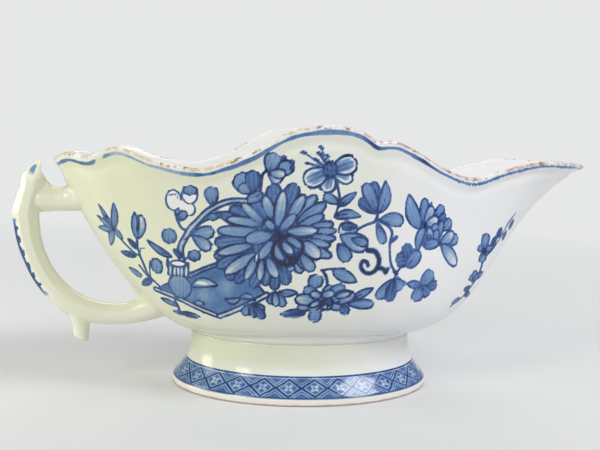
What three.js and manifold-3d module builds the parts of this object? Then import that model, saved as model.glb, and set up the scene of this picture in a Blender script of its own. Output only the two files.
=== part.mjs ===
// A porcelain sauceboat: a spouted bowl with a scalloped rim, on a hollow oval foot, with a branch handle.
// Millimetres. +X points to the spout, +Z is up, and the boat is alike on both sides of Y = 0.
// The origin is on the table, midway between the back of the handle and the tip of the spout.
import * as THREE from 'three';
import { mergeVertices } from 'three/addons/utils/BufferGeometryUtils.js';
import Module from 'manifold-3d';

// Driving dimensions of the bowl
const bowlLength = 205;
const bowlWidth = 89.4;
const crestHeight = 97.4;
const dipHeight = 82;
const wall = 3;
const floorThickness = 4.6;
const lipRound = 0.9;

// Driving dimensions of the foot, whose plan is an oval
const footLength = 98.2;
const footWidth = 77.4;
const footHeight = 20.2;
const neckInset = 6.8;
const footWall = 4.2;
const rimStrip = 2.7;
const bandHeight = 6.6;
const bandInset = 5.2;
const footEdge = 0.5;

// Driving dimensions of the handle
const handleReach = 15;
const strapThickness = 9.6;
const strapWidth = 11;
const armHeight = 9.4;
const armWidth = 8.6;
const armDrop = 15.4;
const thumbDrop = 1.1;
const thumbSeamDrop = 10.5;
const runRise = 5.5;
const rootSetback = 9.2;
const spurLength = 11.6;
const spurThickness = 6.8;
const clearance = 0.3;

// How finely the curved surfaces are divided
const aroundBowl = 120;
const wallLevels = 13;
const aroundFoot = 72;
const aroundBranch = 12;
const branchStep = 4;

const spoutTipX = (bowlLength + handleReach) / 2;
const sternX = spoutTipX - bowlLength;
const handleBackX = sternX - handleReach;
const footCentreX = sternX + bowlLength * 0.455;
const seatLength = footLength - 2 * neckInset;
const seatWidth = footWidth - 2 * neckInset;
const bandTop = rimStrip + bandHeight;
const coveHeight = footHeight - bandTop;

// The rim on one side, from the spout's tip to the stern: how far along the bowl from the stern,
// how wide as a share of half the width, and how high between the dip and the crest.
const rimStations = {
  spoutTip: { along: 1.0, wide: 0, lift: 0.21 },
  spoutNose: { along: 0.984, wide: 0.19, lift: 0.26 },
  spoutCheek: { along: 0.938, wide: 0.38, lift: 0.31 },
  spoutLobe: { along: 0.878, wide: 0.505, lift: 0.33 },
  spoutBack: { along: 0.812, wide: 0.54, lift: 0.16 },
  throat: { along: 0.742, wide: 0.575, lift: -0.1 },
  throatRise: { along: 0.672, wide: 0.715, lift: 0.15 },
  shoulderFoot: { along: 0.618, wide: 0.835, lift: 0.5 },
  shoulder: { along: 0.574, wide: 0.91, lift: 0.71 },
  step: { along: 0.545, wide: 0.95, lift: 0.69 },
  crestFront: { along: 0.51, wide: 0.985, lift: 0.93 },
  crest: { along: 0.458, wide: 1.0, lift: 1.0 },
  crestBack: { along: 0.4, wide: 0.985, lift: 0.86 },
  crestFall: { along: 0.338, wide: 0.95, lift: 0.4 },
  crestToe: { along: 0.296, wide: 0.905, lift: 0.16 },
  dip: { along: 0.25, wide: 0.855, lift: 0.0 },
  sideRise: { along: 0.175, wide: 0.775, lift: 0.16 },
  sideLobe: { along: 0.115, wide: 0.68, lift: 0.41 },
  notch: { along: 0.066, wide: 0.535, lift: 0.19 },
  endLobe: { along: 0.03, wide: 0.35, lift: 0.25 },
  sternLip: { along: 0.0, wide: 0, lift: 0.1 },
};

function rimPoint({ along, wide, lift }, side) {
  const x = sternX + along * bowlLength;
  const y = side * wide * bowlWidth / 2;
  const z = dipHeight + lift * (crestHeight - dipHeight);
  return new THREE.Vector3(x, y, z);
}

function rimLoop() {
  const oneSide = Object.values(rimStations);
  const left = oneSide.map((station) => rimPoint(station, 1));
  const right = oneSide.slice(1, -1).reverse().map((station) => rimPoint(station, -1));
  const curve = new THREE.CatmullRomCurve3([...left, ...right], true, 'centripetal');
  return curve.getSpacedPoints(aroundBowl).slice(0, aroundBowl);
}

// An oval's distance from its centre in a given direction.
function ovalRadius(halfLength, halfWidth, angle) {
  return halfLength * halfWidth / Math.hypot(halfWidth * Math.cos(angle), halfLength * Math.sin(angle));
}

function swell(angle, spread) {
  return Math.exp(-((angle / spread) ** 2));
}

// Each meridian of the wall is one cubic curve in an upright plane through the foot's centre.
// It leaves the foot outwards, swells into the belly and turns up to the rim, with a long throw under
// the spout.
const belly = { sideReach: 10.5, sternReach: 22.5, prowReach: 33, sideRise: 5, endRise: 3.5 };
const flare = { side: 1.5, stern: 9, prow: 36.5, prowSpread: 0.3, sternSpread: 0.9 };
const lipDrop = { side: 23, end: 18 };
const junctionRise = { end: 0.6, side: 3 };

function wallMeridian(rim) {
  const angle = Math.atan2(rim.y, rim.x - footCentreX);
  const endShare = Math.cos(angle) ** 2;
  const endReach = Math.cos(angle) > 0 ? belly.prowReach : belly.sternReach;
  const reach = belly.sideReach + (endReach - belly.sideReach) * endShare;
  const rise = belly.sideRise + (belly.endRise - belly.sideRise) * endShare;
  const fromStern = Math.PI - Math.abs(angle);
  const spread = flare.side
    + (flare.prow - flare.side) * swell(angle, flare.prowSpread)
    + (flare.stern - flare.side) * swell(fromStern, flare.sternSpread);
  const drop = lipDrop.side + (lipDrop.end - lipDrop.side) * endShare;
  const footRadius = ovalRadius(seatLength / 2, seatWidth / 2, angle);
  const footRise = footHeight + junctionRise.side + (junctionRise.end - junctionRise.side) * endShare;
  const rimRadius = Math.hypot(rim.x - footCentreX, rim.y);
  const rimHeight = rim.z - lipRound;
  const curve = new THREE.CubicBezierCurve(
    new THREE.Vector2(footRadius, footRise),
    new THREE.Vector2(footRadius + reach, footRise + rise),
    new THREE.Vector2(rimRadius - spread, rimHeight - drop),
    new THREE.Vector2(rimRadius, rimHeight),
  );
  return { angle, curve, footRadius };
}

function onMeridian(meridian, radius, height) {
  const x = footCentreX + radius * Math.cos(meridian.angle);
  return new THREE.Vector3(x, radius * Math.sin(meridian.angle), height);
}

function ringAt(meridians, share) {
  return meridians.map((meridian) => {
    const p = meridian.curve.getPoint(share);
    return onMeridian(meridian, p.x, p.y);
  });
}

// The outward normals of one ring, from its neighbours along and above it.
function ringNormals(ring, below, above) {
  return ring.map((point, i) => {
    const next = ring[(i + 1) % ring.length];
    const last = ring[(i + ring.length - 1) % ring.length];
    const alongRing = next.clone().sub(last);
    const upWall = above[i].clone().sub(below[i]);
    return alongRing.cross(upWall).normalize();
  });
}

// A ring moved along its normals, which turn level towards the rim so that the lip stays thin.
function offsetRing(rings, level, distance) {
  const last = rings.length - 1;
  const below = rings[Math.max(level - 1, 0)];
  const above = rings[Math.min(level + 1, last)];
  const levelling = (level / last) ** 4;
  const normals = ringNormals(rings[level], below, above);
  return rings[level].map((point, i) => {
    const flat = normals[i].clone().setZ(0).normalize();
    const direction = normals[i].clone().lerp(flat, levelling).normalize();
    return point.clone().addScaledVector(direction, distance);
  });
}

// The rings of the floor inside, as a share of the lowest ring of the wall and a height over the floor.
const floorRings = [{ share: 0.78, rise: 1.2 }, { share: 0.4, rise: 0 }];
const floorDish = 0.2;

function levelRing(ring, share, height) {
  return ring.map((p) => new THREE.Vector3(footCentreX + (p.x - footCentreX) * share, p.y * share, height));
}

// A closed body from rings of equal count, closed by a fan to a centre point at each end.
function closedLoft(rings, firstCentre, lastCentre) {
  const count = rings[0].length;
  const points = [...rings.flat(), firstCentre, lastCentre];
  const first = points.length - 2;
  const final = points.length - 1;
  const faces = [];
  for (let i = 0; i < count; i++) {
    const next = (i + 1) % count;
    faces.push(first, next, i);
    const top = (rings.length - 1) * count;
    faces.push(final, top + i, top + next);
    for (let level = 0; level < rings.length - 1; level++) {
      const low = level * count;
      const high = low + count;
      faces.push(low + i, low + next, high + next);
      faces.push(low + i, high + next, high + i);
    }
  }
  return meshGeometry(points, faces);
}

// A closed body from rings that come back to the first one, as round a hollow ring.
function closedHoop(rings) {
  const count = rings[0].length;
  const faces = [];
  for (let level = 0; level < rings.length; level++) {
    const low = level * count;
    const high = ((level + 1) % rings.length) * count;
    for (let i = 0; i < count; i++) {
      const next = (i + 1) % count;
      faces.push(low + i, low + next, high + next);
      faces.push(low + i, high + next, high + i);
    }
  }
  return meshGeometry(rings.flat(), faces);
}

function meshGeometry(points, faces) {
  const geometry = new THREE.BufferGeometry();
  const numbers = points.flatMap((p) => [p.x, p.y, p.z]);
  geometry.setAttribute('position', new THREE.Float32BufferAttribute(numbers, 3));
  geometry.setIndex(faces);
  return geometry;
}

function outerWallRings() {
  const meridians = rimLoop().map(wallMeridian);
  const rings = [];
  for (let level = 0; level <= wallLevels; level++) {
    rings.push(ringAt(meridians, level / wallLevels));
  }
  return { meridians, rings };
}

function bowlGeometry() {
  const { meridians, rings } = outerWallRings();
  const seat = meridians.map((meridian) => onMeridian(meridian, meridian.footRadius, footHeight));
  const inner = rings.map((ring, level) => offsetRing(rings, level, -wall)).slice(1).reverse();
  const outerLip = rings[wallLevels];
  const crest = outerLip.map((p, i) => p.clone().add(inner[0][i]).multiplyScalar(0.5));
  crest.forEach((p) => p.setZ(p.z + lipRound));
  const floorHeight = footHeight + floorThickness;
  const lowest = inner[inner.length - 1];
  const floor = floorRings.map(({ share, rise }) => levelRing(lowest, share, floorHeight + rise));
  const underside = new THREE.Vector3(footCentreX, 0, footHeight);
  const middle = new THREE.Vector3(footCentreX, 0, floorHeight - floorDish);
  return closedLoft([seat, ...rings, crest, ...inner, ...floor], underside, middle);
}

// The bowl's outside alone, grown by a clearance, which cuts the handle's ends to the wall.
function bowlCutter() {
  const { meridians, rings } = outerWallRings();
  const grown = rings.map((ring, level) => offsetRing(rings, level, clearance));
  const seat = meridians.map((meridian) => onMeridian(meridian, meridian.footRadius, footHeight));
  const topHeight = crestHeight + lipRound;
  const top = levelRing(grown[wallLevels], 1, topHeight);
  const underside = new THREE.Vector3(footCentreX, 0, footHeight);
  return closedLoft([seat, ...grown, top], underside, new THREE.Vector3(footCentreX, 0, topHeight));
}

function footRing(inset, height) {
  const ring = [];
  for (let i = 0; i < aroundFoot; i++) {
    const angle = 2 * Math.PI * i / aroundFoot;
    const radius = ovalRadius(footLength / 2 - inset, footWidth / 2 - inset, angle);
    ring.push(new THREE.Vector3(footCentreX + radius * Math.cos(angle), radius * Math.sin(angle), height));
  }
  return ring;
}

// The foot spreads from its neck through a hollow curve to the painted band and the narrow strip it stands
// on. The hollow curve runs to the neck as shares of the way in and of the way up.
const cove = [
  { inwards: 0.55, up: 0.2 },
  { inwards: 1, up: 0.5 },
  { inwards: 1.1, up: 0.72 },
  { inwards: 1, up: 1 },
];

function coveRing({ inwards, up }) {
  return footRing(bandInset + (neckInset - bandInset) * inwards, bandTop + coveHeight * up);
}

function footGeometry() {
  const outside = [
    footRing(footEdge, 0),
    footRing(0, footEdge),
    footRing(0, rimStrip - footEdge),
    footRing(footEdge / 2, rimStrip),
    footRing(bandInset, bandTop),
    ...cove.map(coveRing),
  ];
  const inside = [
    footRing(neckInset + footWall, footHeight),
    footRing(neckInset + footWall, bandTop + coveHeight / 2),
    footRing(bandInset + footWall, bandTop),
    footRing(footWall + footEdge, footEdge),
    footRing(footWall, 0),
  ];
  return closedHoop([...outside, ...inside]);
}

// A branch with a rounded section that changes along its path: each station gives the path's place
// in the upright middle plane, the thickness across the path and the width from side to side.
function branchGeometry(stations, growth = 0) {
  const places = stations.map((station) => new THREE.Vector3(station.x, 0, station.z));
  const path = new THREE.CatmullRomCurve3(places, false, 'centripetal');
  const steps = Math.max(4, Math.round(path.getLength() / branchStep));
  const rings = [];
  for (let step = 0; step <= steps; step++) {
    const share = step / steps;
    const centre = path.getPoint(share);
    const ahead = path.getTangent(share);
    const across = new THREE.Vector3(ahead.z, 0, -ahead.x);
    const place = share * (stations.length - 1);
    const from = stations[Math.floor(place)];
    const to = stations[Math.ceil(place)];
    const halfThick = THREE.MathUtils.lerp(from.thick, to.thick, place % 1) / 2 + growth;
    const halfWide = THREE.MathUtils.lerp(from.wide, to.wide, place % 1) / 2 + growth;
    rings.push(branchSection(centre, across, halfThick, halfWide));
  }
  return closedLoft(rings, path.getPoint(0), path.getPoint(1));
}

function branchSection(centre, across, halfThick, halfWide) {
  const ring = [];
  for (let i = 0; i < aroundBranch; i++) {
    const angle = 2 * Math.PI * (i + 0.5) / aroundBranch;
    const point = centre.clone().addScaledVector(across, halfThick * Math.cos(angle));
    point.y += halfWide * Math.sin(angle);
    ring.push(point);
  }
  return ring;
}

// Where the handle's parts run. The thumb rest is measured from the stern's lip, the bend from the back
// of the handle, and the lower run from the foot, beside which its root meets the bottom of the bowl.
const lip = rimPoint(rimStations.sternLip, 1);
const strapBackX = handleBackX + strapThickness / 2;
const runHeight = footHeight + runRise;
const heelX = strapBackX + 20.2;
const rootX = footCentreX - seatLength / 2 - rootSetback;
const runShare = 0.37;
const handlePlaces = {
  thumbTip: { x: lip.x - 5.2, z: lip.z - thumbDrop, thick: 2.6, wide: 4.2 },
  thumbMiddle: { x: lip.x - 6.6, z: lip.z - 6, thick: 6.4, wide: 8 },
  thumbRoot: { x: lip.x - 7.9, z: lip.z - 12, thick: 9.2, wide: 10 },
  back: { x: strapBackX, z: lip.z - 21.5, thick: strapThickness, wide: strapWidth },
  side: { x: strapBackX + 2.2, z: lip.z - 33.5, thick: strapThickness, wide: strapWidth },
  elbow: { x: strapBackX + 9.2, z: runHeight + 9.8, thick: strapThickness, wide: strapWidth },
  heel: { x: heelX, z: runHeight + 1.4, thick: strapThickness, wide: strapWidth },
  run: { x: heelX + (rootX - heelX) * runShare, z: runHeight, thick: strapThickness - 1, wide: strapWidth },
  root: { x: rootX, z: runHeight + 2.6, thick: strapThickness - 0.6, wide: strapWidth },
};

const strapStations = Object.values(handlePlaces);

const armStations = [
  { x: strapBackX, z: lip.z - armDrop - 1, thick: armHeight + 1.4, wide: armWidth + 1 },
  { x: lip.x - 2, z: lip.z - armDrop, thick: armHeight - 0.6, wide: armWidth },
  { x: lip.x + 12, z: lip.z - armDrop + 1, thick: armHeight + 1.2, wide: armWidth + 2 },
];

const heelZ = handlePlaces.heel.z;
const spurStations = [
  { x: heelX - 1, z: heelZ, thick: spurThickness + 2.6, wide: spurThickness + 1 },
  { x: heelX - 0.2, z: heelZ - spurLength * 0.55, thick: spurThickness, wide: spurThickness },
  { x: heelX + 0.4, z: heelZ - spurLength, thick: spurThickness - 2.2, wide: spurThickness - 2 },
];

const wasm = await Module();
wasm.setup();

function toSolid(geometry) {
  const bare = geometry.clone();
  bare.deleteAttribute('normal');
  bare.deleteAttribute('uv');
  const merged = mergeVertices(bare, 1e-4);
  return new wasm.Manifold(new wasm.Mesh({
    numProp: 3,
    vertProperties: new Float32Array(merged.attributes.position.array),
    triVerts: new Uint32Array(merged.index.array),
  }));
}

function toGeometry(solid) {
  const mesh = solid.getMesh();
  const geometry = new THREE.BufferGeometry();
  geometry.setAttribute('position', new THREE.Float32BufferAttribute(mesh.vertProperties, 3));
  geometry.setIndex(Array.from(mesh.triVerts));
  return geometry;
}

// A block that holds everything above the seam between the strap and the thumb rest.
function aboveSeam() {
  const reach = 2 * handleReach + strapWidth;
  const block = new THREE.BoxGeometry(reach, reach, reach);
  block.translate(strapBackX, 0, lip.z - thumbSeamDrop + reach / 2);
  return toSolid(block);
}

function strapGeometry() {
  const strap = toSolid(branchGeometry(strapStations)).subtract(aboveSeam());
  return toGeometry(strap.subtract(toSolid(bowlCutter())));
}

function thumbGeometry() {
  return toGeometry(toSolid(branchGeometry(strapStations)).intersect(aboveSeam()));
}

function armGeometry() {
  const strapRoom = toSolid(branchGeometry(strapStations, clearance));
  const arm = toSolid(branchGeometry(armStations)).subtract(strapRoom);
  return toGeometry(arm.subtract(toSolid(bowlCutter())));
}

function spurGeometry() {
  const strapRoom = toSolid(branchGeometry(strapStations, clearance));
  return toGeometry(toSolid(branchGeometry(spurStations)).subtract(strapRoom));
}

function glaze(colour, roughness) {
  return new THREE.MeshStandardMaterial({ color: colour, roughness, metalness: 0 });
}

function piece(name, geometry, material) {
  const mesh = new THREE.Mesh(geometry, material);
  mesh.name = name;
  return mesh;
}

const sauceboat = new THREE.Group();
sauceboat.add(piece('bowl', bowlGeometry(), glaze(0xdfe0d2, 0.14)));
sauceboat.add(piece('foot', footGeometry(), glaze(0xd8dcd0, 0.16)));

const handle = new THREE.Group();
handle.add(piece('handle_strap', strapGeometry(), glaze(0xdcdfc6, 0.16)));
handle.add(piece('thumb_rest', thumbGeometry(), glaze(0xdcdfc6, 0.16)));
handle.add(piece('handle_arm', armGeometry(), glaze(0xdcdfc6, 0.16)));
handle.add(piece('handle_spur', spurGeometry(), glaze(0xd6d8c4, 0.18)));
sauceboat.add(handle);

export default sauceboat;
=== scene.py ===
"""A blue and white porcelain sauceboat: the looks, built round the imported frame.

The bowl is one closed shell with a fine outer wall, on which the flower painting is laid in two fields
per vertex: how far a point is from the nearest brush line, and how dense the blue wash is there. The
painting is laid out in millimetres as seen from the side: x along the boat and z above the table.
"""

import logging
import math
from dataclasses import dataclass
from enum import Enum
from functools import cached_property, partialmethod

import bpy
import numpy as np
from mathutils import Matrix, Vector


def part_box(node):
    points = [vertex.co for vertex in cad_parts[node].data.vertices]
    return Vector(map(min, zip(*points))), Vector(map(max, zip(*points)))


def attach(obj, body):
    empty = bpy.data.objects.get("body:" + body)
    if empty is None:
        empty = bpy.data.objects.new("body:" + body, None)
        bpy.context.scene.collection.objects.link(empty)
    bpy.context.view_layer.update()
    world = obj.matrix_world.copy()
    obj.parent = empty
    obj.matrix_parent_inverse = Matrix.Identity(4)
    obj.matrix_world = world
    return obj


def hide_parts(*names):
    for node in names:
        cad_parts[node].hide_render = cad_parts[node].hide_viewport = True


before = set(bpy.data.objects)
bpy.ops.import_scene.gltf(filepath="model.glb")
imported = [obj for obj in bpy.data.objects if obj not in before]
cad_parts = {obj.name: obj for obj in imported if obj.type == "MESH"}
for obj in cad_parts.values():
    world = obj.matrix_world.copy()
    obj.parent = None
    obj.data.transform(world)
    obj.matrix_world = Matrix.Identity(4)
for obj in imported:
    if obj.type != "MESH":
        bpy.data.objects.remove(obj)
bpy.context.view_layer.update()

MM = 0.001
BODY = "root"
Place = tuple[float, float]
log = logging.getLogger("sauceboat")


def deselect_all() -> None:
    """Leaves no object selected and none active, so that the next operator acts on its own piece."""
    if bpy.context.object and bpy.context.object.mode != "OBJECT":
        bpy.ops.object.mode_set(mode="OBJECT")
    bpy.ops.object.select_all(action="DESELECT")
    bpy.context.view_layer.objects.active = None


def make_active(*pieces: bpy.types.Object) -> None:
    """Selects the pieces alone and makes the first one active.

    Args:
        pieces: the pieces, the active one first.
    """
    deselect_all()
    for piece in pieces:
        piece.select_set(True)
    bpy.context.view_layer.objects.active = pieces[0]


def smoothstep(low: float, high: float, value: np.ndarray) -> np.ndarray:
    """A soft step from 0 at low to 1 at high."""
    share = np.clip((value - low) / (high - low), 0.0, 1.0)
    return share * share * (3.0 - 2.0 * share)


def unit(vectors: np.ndarray) -> np.ndarray:
    """The vectors at length 1."""
    return vectors / np.maximum(np.linalg.norm(vectors, axis=-1, keepdims=True), 1e-12)


def points_of(piece: bpy.types.Object) -> np.ndarray:
    """The piece's vertices in metres."""
    return np.array([vertex.co for vertex in piece.data.vertices])


def store(piece: bpy.types.Object, name: str, values: np.ndarray, rest: float = 0.0) -> None:
    """Stores a number for each vertex of a piece.

    Args:
        piece: the piece.
        name: the name that its material reads.
        values: the numbers, from the first vertex on.
        rest: the number for all the vertices that are left over.
    """
    data = np.full(len(piece.data.vertices), rest, np.float32)
    data[: len(values)] = values
    piece.data.attributes.new(name, "FLOAT", "POINT").data.foreach_set("value", data)


def mesh_object(name: str, points: np.ndarray, faces: list[tuple[int, ...]]) -> bpy.types.Object:
    """Puts a mesh in the scene.

    Args:
        name: its name.
        points: its vertices in millimetres.
        faces: its faces, which point outwards.

    Returns:
        The new object.
    """
    mesh = bpy.data.meshes.new(name)
    mesh.from_pydata((points * MM).tolist(), [], faces)
    mesh.validate()
    mesh.update()
    piece = bpy.data.objects.new(name, mesh)
    bpy.context.scene.collection.objects.link(piece)
    return piece


def belt(low: int, high: int, many: int) -> list[tuple[int, ...]]:
    """The faces between two closed rows of vertices, which start at the given numbers."""
    return [(low + i, low + (i + 1) % many, high + (i + 1) % many, high + i) for i in range(many)]


def cap(middle: int, row: int, many: int, up: bool) -> list[tuple[int, ...]]:
    """The faces that close a row of vertices at its middle one, and point up or down."""
    rim = [(row + i, row + (i + 1) % many) for i in range(many)]
    return [(middle, a, b) if up else (middle, b, a) for a, b in rim]


class CurveWeights:
    """Weights that read a row of knots as one smooth curve through all of them."""

    @staticmethod
    def row(places: np.ndarray, count: int, closed: bool) -> np.ndarray:
        """Gives one line of weights for each place along the knots.

        Args:
            places: where to read the curve, counted in knots from the first.
            count: how many knots there are.
            closed: whether the last knot leads back to the first.

        Returns:
            An array with a row for each place and a column for each knot.
        """
        weights = np.zeros((len(places), count))
        whole = np.floor(places).astype(int)
        if not closed:
            whole = np.minimum(whole, count - 2)
        t = places - whole
        blend = (
            -0.5 * t + t**2 - 0.5 * t**3,
            1.0 - 2.5 * t**2 + 1.5 * t**3,
            0.5 * t + 2.0 * t**2 - 1.5 * t**3,
            -0.5 * t**2 + 0.5 * t**3,
        )
        lines = np.arange(len(places))
        for shift, weight in zip((-1, 0, 1, 2), blend):
            knot = whole + shift
            if closed:
                np.add.at(weights, (lines, knot % count), weight)
                continue
            # Past an open end the curve runs on along its last two knots.
            before, after = knot < 0, knot > count - 1
            inside = ~(before | after)
            np.add.at(weights, (lines[inside], knot[inside]), weight[inside])
            for mask, near, far in ((before, 0, 1), (after, count - 1, count - 2)):
                np.add.at(weights, (lines[mask], np.full(mask.sum(), near)), 2.0 * weight[mask])
                np.add.at(weights, (lines[mask], np.full(mask.sum(), far)), -weight[mask])
        return weights


@dataclass
class BowlRings:
    """The rings of the CAD bowl, read back from its mesh by walking from the middle of its underside."""

    node: str = "bowl"
    weld: float = 1e-6
    fan_valence: float = 4.0

    def read(self) -> np.ndarray:
        """Reads the rings in millimetres.

        Returns:
            An array of rings by points by x, y and z, from the seat on the foot over the outside, the
            crest and the inside down to the floor.
        """
        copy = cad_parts[self.node].copy()
        copy.data = copy.data.copy()
        bpy.context.scene.collection.objects.link(copy)
        make_active(copy)
        bpy.ops.object.mode_set(mode="EDIT")
        bpy.ops.mesh.select_all(action="SELECT")
        bpy.ops.mesh.remove_doubles(threshold=self.weld)
        bpy.ops.object.mode_set(mode="OBJECT")
        points = points_of(copy) / MM
        third: dict[tuple[int, int], int] = {}
        for face in copy.data.polygons:
            a, b, c = face.vertices
            third[a, b], third[b, c], third[c, a] = c, a, b
        bpy.data.objects.remove(copy, do_unlink=True)
        valence = np.bincount([a for a, _ in third])
        fans = np.flatnonzero(valence > valence.mean() * self.fan_valence)
        middle = int(fans[points[fans, 2].argmin()])
        first = next(b for a, b in third if a == middle)
        ring = [first]
        while (following := third[ring[-1], middle]) != first:
            ring.append(following)
        rings = [ring]
        while True:
            pairs = zip(ring, ring[1:] + ring[:1])
            upper = [third[a, b] for a, b in pairs]
            if len(set(upper)) == 1:
                break
            ring = upper[-1:] + upper[:-1]
            rings.append(ring)
        return points[np.array(rings)]


@dataclass
class BowlShell:
    """The bowl as one closed shell: fine where the painting is, coarse inside."""

    wall_rings: int = 14
    near_steps: int = 7
    far_steps: int = 5
    end_steps: int = 3
    side_turn: float = 0.62
    even_step: float = 0.2
    fine_rows: int = 121
    low_rows: int = 12
    paint_level: float = 3.4
    foot_rows: int = 5
    lip_steps: int = 6
    inside_rows: int = 10
    lip_round: float = 0.95
    hollow_depth: float = 0.56
    hollow_place: float = 4.9
    hollow_spread: float = 2.1
    fillet_share: float = 0.5
    floor_levels: tuple[float, ...] = (0.35, 0.7, 1.0, 1.5, 2.0)

    def build(self) -> bpy.types.Object:
        """Builds the shell.

        Returns:
            The bowl's object, whose first vertices are the outer wall's rows from the seat upwards.
        """
        rings = BowlRings().read()
        self.outer_rings = rings[1 : self.wall_rings + 1]
        self.columns = self._columns()
        inside = rings[self.wall_rings + 2 :]
        self.outer = self._outer_wall(rings[0])
        deepest = self.wall_rings - 2
        inner = self._read(inside[: deepest + 1], np.linspace(0, deepest, self.inside_rows))
        floor = self._read(inside[deepest:], np.array(self.floor_levels))
        lip = self._lip(self.outer[-1], inner[0])
        half = np.concatenate([inner, floor])[:, ::2]
        piece = mesh_object("bowl_glazed", *self._stitch(np.concatenate([self.outer, lip]), half))
        make_active(piece)
        bpy.ops.object.shade_smooth()
        deselect_all()
        return piece

    def core(self, sink: float, rise: float) -> bpy.types.Object:
        """A plain solid that fills the bowl up to the middle of its wall, for trimming what is luted on.

        Args:
            sink: how far it lies below the outer wall in millimetres.
            rise: how far it stands above the rim in millimetres.

        Returns:
            The solid, which the caller deletes.
        """
        rings = self.outer_rings - sink * Bowl.normals(self.outer_rings)
        rings = np.concatenate([rings, rings[-1:] + np.array([0.0, 0.0, rise])])
        rows, many = rings.shape[:2]
        middles = [rings[0].mean(axis=0), rings[-1].mean(axis=0)]
        points = np.concatenate([rings.reshape(-1, 3), middles])
        last = (rows - 1) * many
        faces: list[tuple[int, ...]] = []
        for low in range(0, last, many):
            faces += belt(low, low + many, many)
        faces += cap(rows * many, 0, many, up=False) + cap(rows * many + 1, last, many, up=True)
        return mesh_object("bowl_core", points, faces)

    def _columns(self) -> np.ndarray:
        """Places of the columns round the bowl, close together on its sides and closest on the near one.

        Returns:
            The places, counted in the CAD's points from the first.
        """
        middle = self.outer_rings[self.wall_rings // 2]
        along = unit(np.roll(middle, -1, axis=0) - np.roll(middle, 1, axis=0))
        places = []
        for knot, direction in enumerate(along):
            side = self.near_steps if middle[knot, 1] < 0.0 else self.far_steps
            steps = side if abs(direction[0]) > self.side_turn else self.end_steps
            places.append(knot + np.arange(steps) / steps)
        places = np.concatenate(places)
        return places if len(places) % 2 == 0 else np.append(places, places[-1] + self.even_step)

    def _read(self, rings: np.ndarray, levels: np.ndarray) -> np.ndarray:
        """Reads rows of points from rings as from one smooth surface.

        Args:
            rings: the rings.
            levels: where to read them, counted in rings from the first.

        Returns:
            An array of rows by columns by x, y and z.
        """
        up = CurveWeights.row(levels, len(rings), closed=False)
        around = CurveWeights.row(self.columns, rings.shape[1], closed=True)
        return np.einsum("li,ijk,cj->lck", up, rings, around, optimize=True)

    def _outer_wall(self, seat: np.ndarray) -> np.ndarray:
        """The outer wall's rows, with the soft hollow under the rim and the fillet over the foot's seam.

        Args:
            seat: the CAD's ring on the foot.

        Returns:
            The rows, from the seat up to the rim.
        """
        top = self.wall_rings - 1
        low = np.linspace(0.0, 1.0, self.foot_rows, endpoint=False)
        plain = np.linspace(1.0, self.paint_level, self.low_rows, endpoint=False)
        levels = np.concatenate([low, plain, np.linspace(self.paint_level, top, self.fine_rows)])
        wall = self._read(self.outer_rings, levels)
        steps = np.linalg.norm(np.diff(wall[::-1], axis=0), axis=2)
        below = np.concatenate([np.zeros((1, wall.shape[1])), np.cumsum(steps, axis=0)])[::-1]
        hollow = self.hollow_depth * np.exp(-(((below - self.hollow_place) / self.hollow_spread) ** 2))
        wall = wall - Bowl.normals(wall) * hollow[:, :, None]
        seat_row = self._read(seat[None].repeat(2, axis=0), np.array([0.0]))
        fillet = seat_row * (1.0 - self.fillet_share) + wall[:1] * self.fillet_share
        return np.concatenate([seat_row, fillet, wall])

    def _lip(self, outer: np.ndarray, inner: np.ndarray) -> np.ndarray:
        """Turns over the rim from the outer wall to the inner one, half a round in section.

        Args:
            outer: the outer wall's last row.
            inner: the inner wall's first row.

        Returns:
            The rows between them.
        """
        middle = (outer + inner) / 2
        rows = []
        for step in range(1, self.lip_steps):
            angle = math.pi * step / self.lip_steps
            row = middle + (outer - middle) * math.cos(angle)
            row[:, 2] = row[:, 2] + self.lip_round * math.sin(angle)
            rows.append(row)
        return np.array(rows)

    def _stitch(self, fine: np.ndarray, coarse: np.ndarray) -> tuple[np.ndarray, list[tuple[int, ...]]]:
        """Joins the fine rows, the coarse rows and the two middles into one closed shell.

        Args:
            fine: rows with every column, from the seat over the rim.
            coarse: rows with every second column, from under the rim down to the floor.

        Returns:
            The points and the faces, which point outwards.
        """
        rows, many = fine.shape[:2]
        few = coarse.shape[1]
        start = rows * many
        middles = np.array([fine[0].mean(axis=0), coarse[-1].mean(axis=0)])
        points = np.concatenate([fine.reshape(-1, 3), coarse.reshape(-1, 3), middles])
        last, final = start - many, start + (len(coarse) - 1) * few
        faces: list[tuple[int, ...]] = []
        for low in range(0, last, many):
            faces += belt(low, low + many, many)
        for i in range(few):
            near, far = last + 2 * i, last + (2 * i + 2) % many
            faces.append((near, near + 1, start + i))
            faces.append((near + 1, far, start + (i + 1) % few, start + i))
        for low in range(start, final, few):
            faces += belt(low, low + few, few)
        faces += cap(len(points) - 2, 0, many, up=False) + cap(len(points) - 1, final, few, up=True)
        return points, faces


@dataclass(frozen=True)
class Brush:
    """How one shape is painted, with its outline in millimetres and its washes from 0, bare, to 1."""

    line: float = 0.75
    base: float = 0.5
    tip: float = 0.3
    veined: bool = False
    streaks: float = 0.16
    border: float = 0.0


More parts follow.
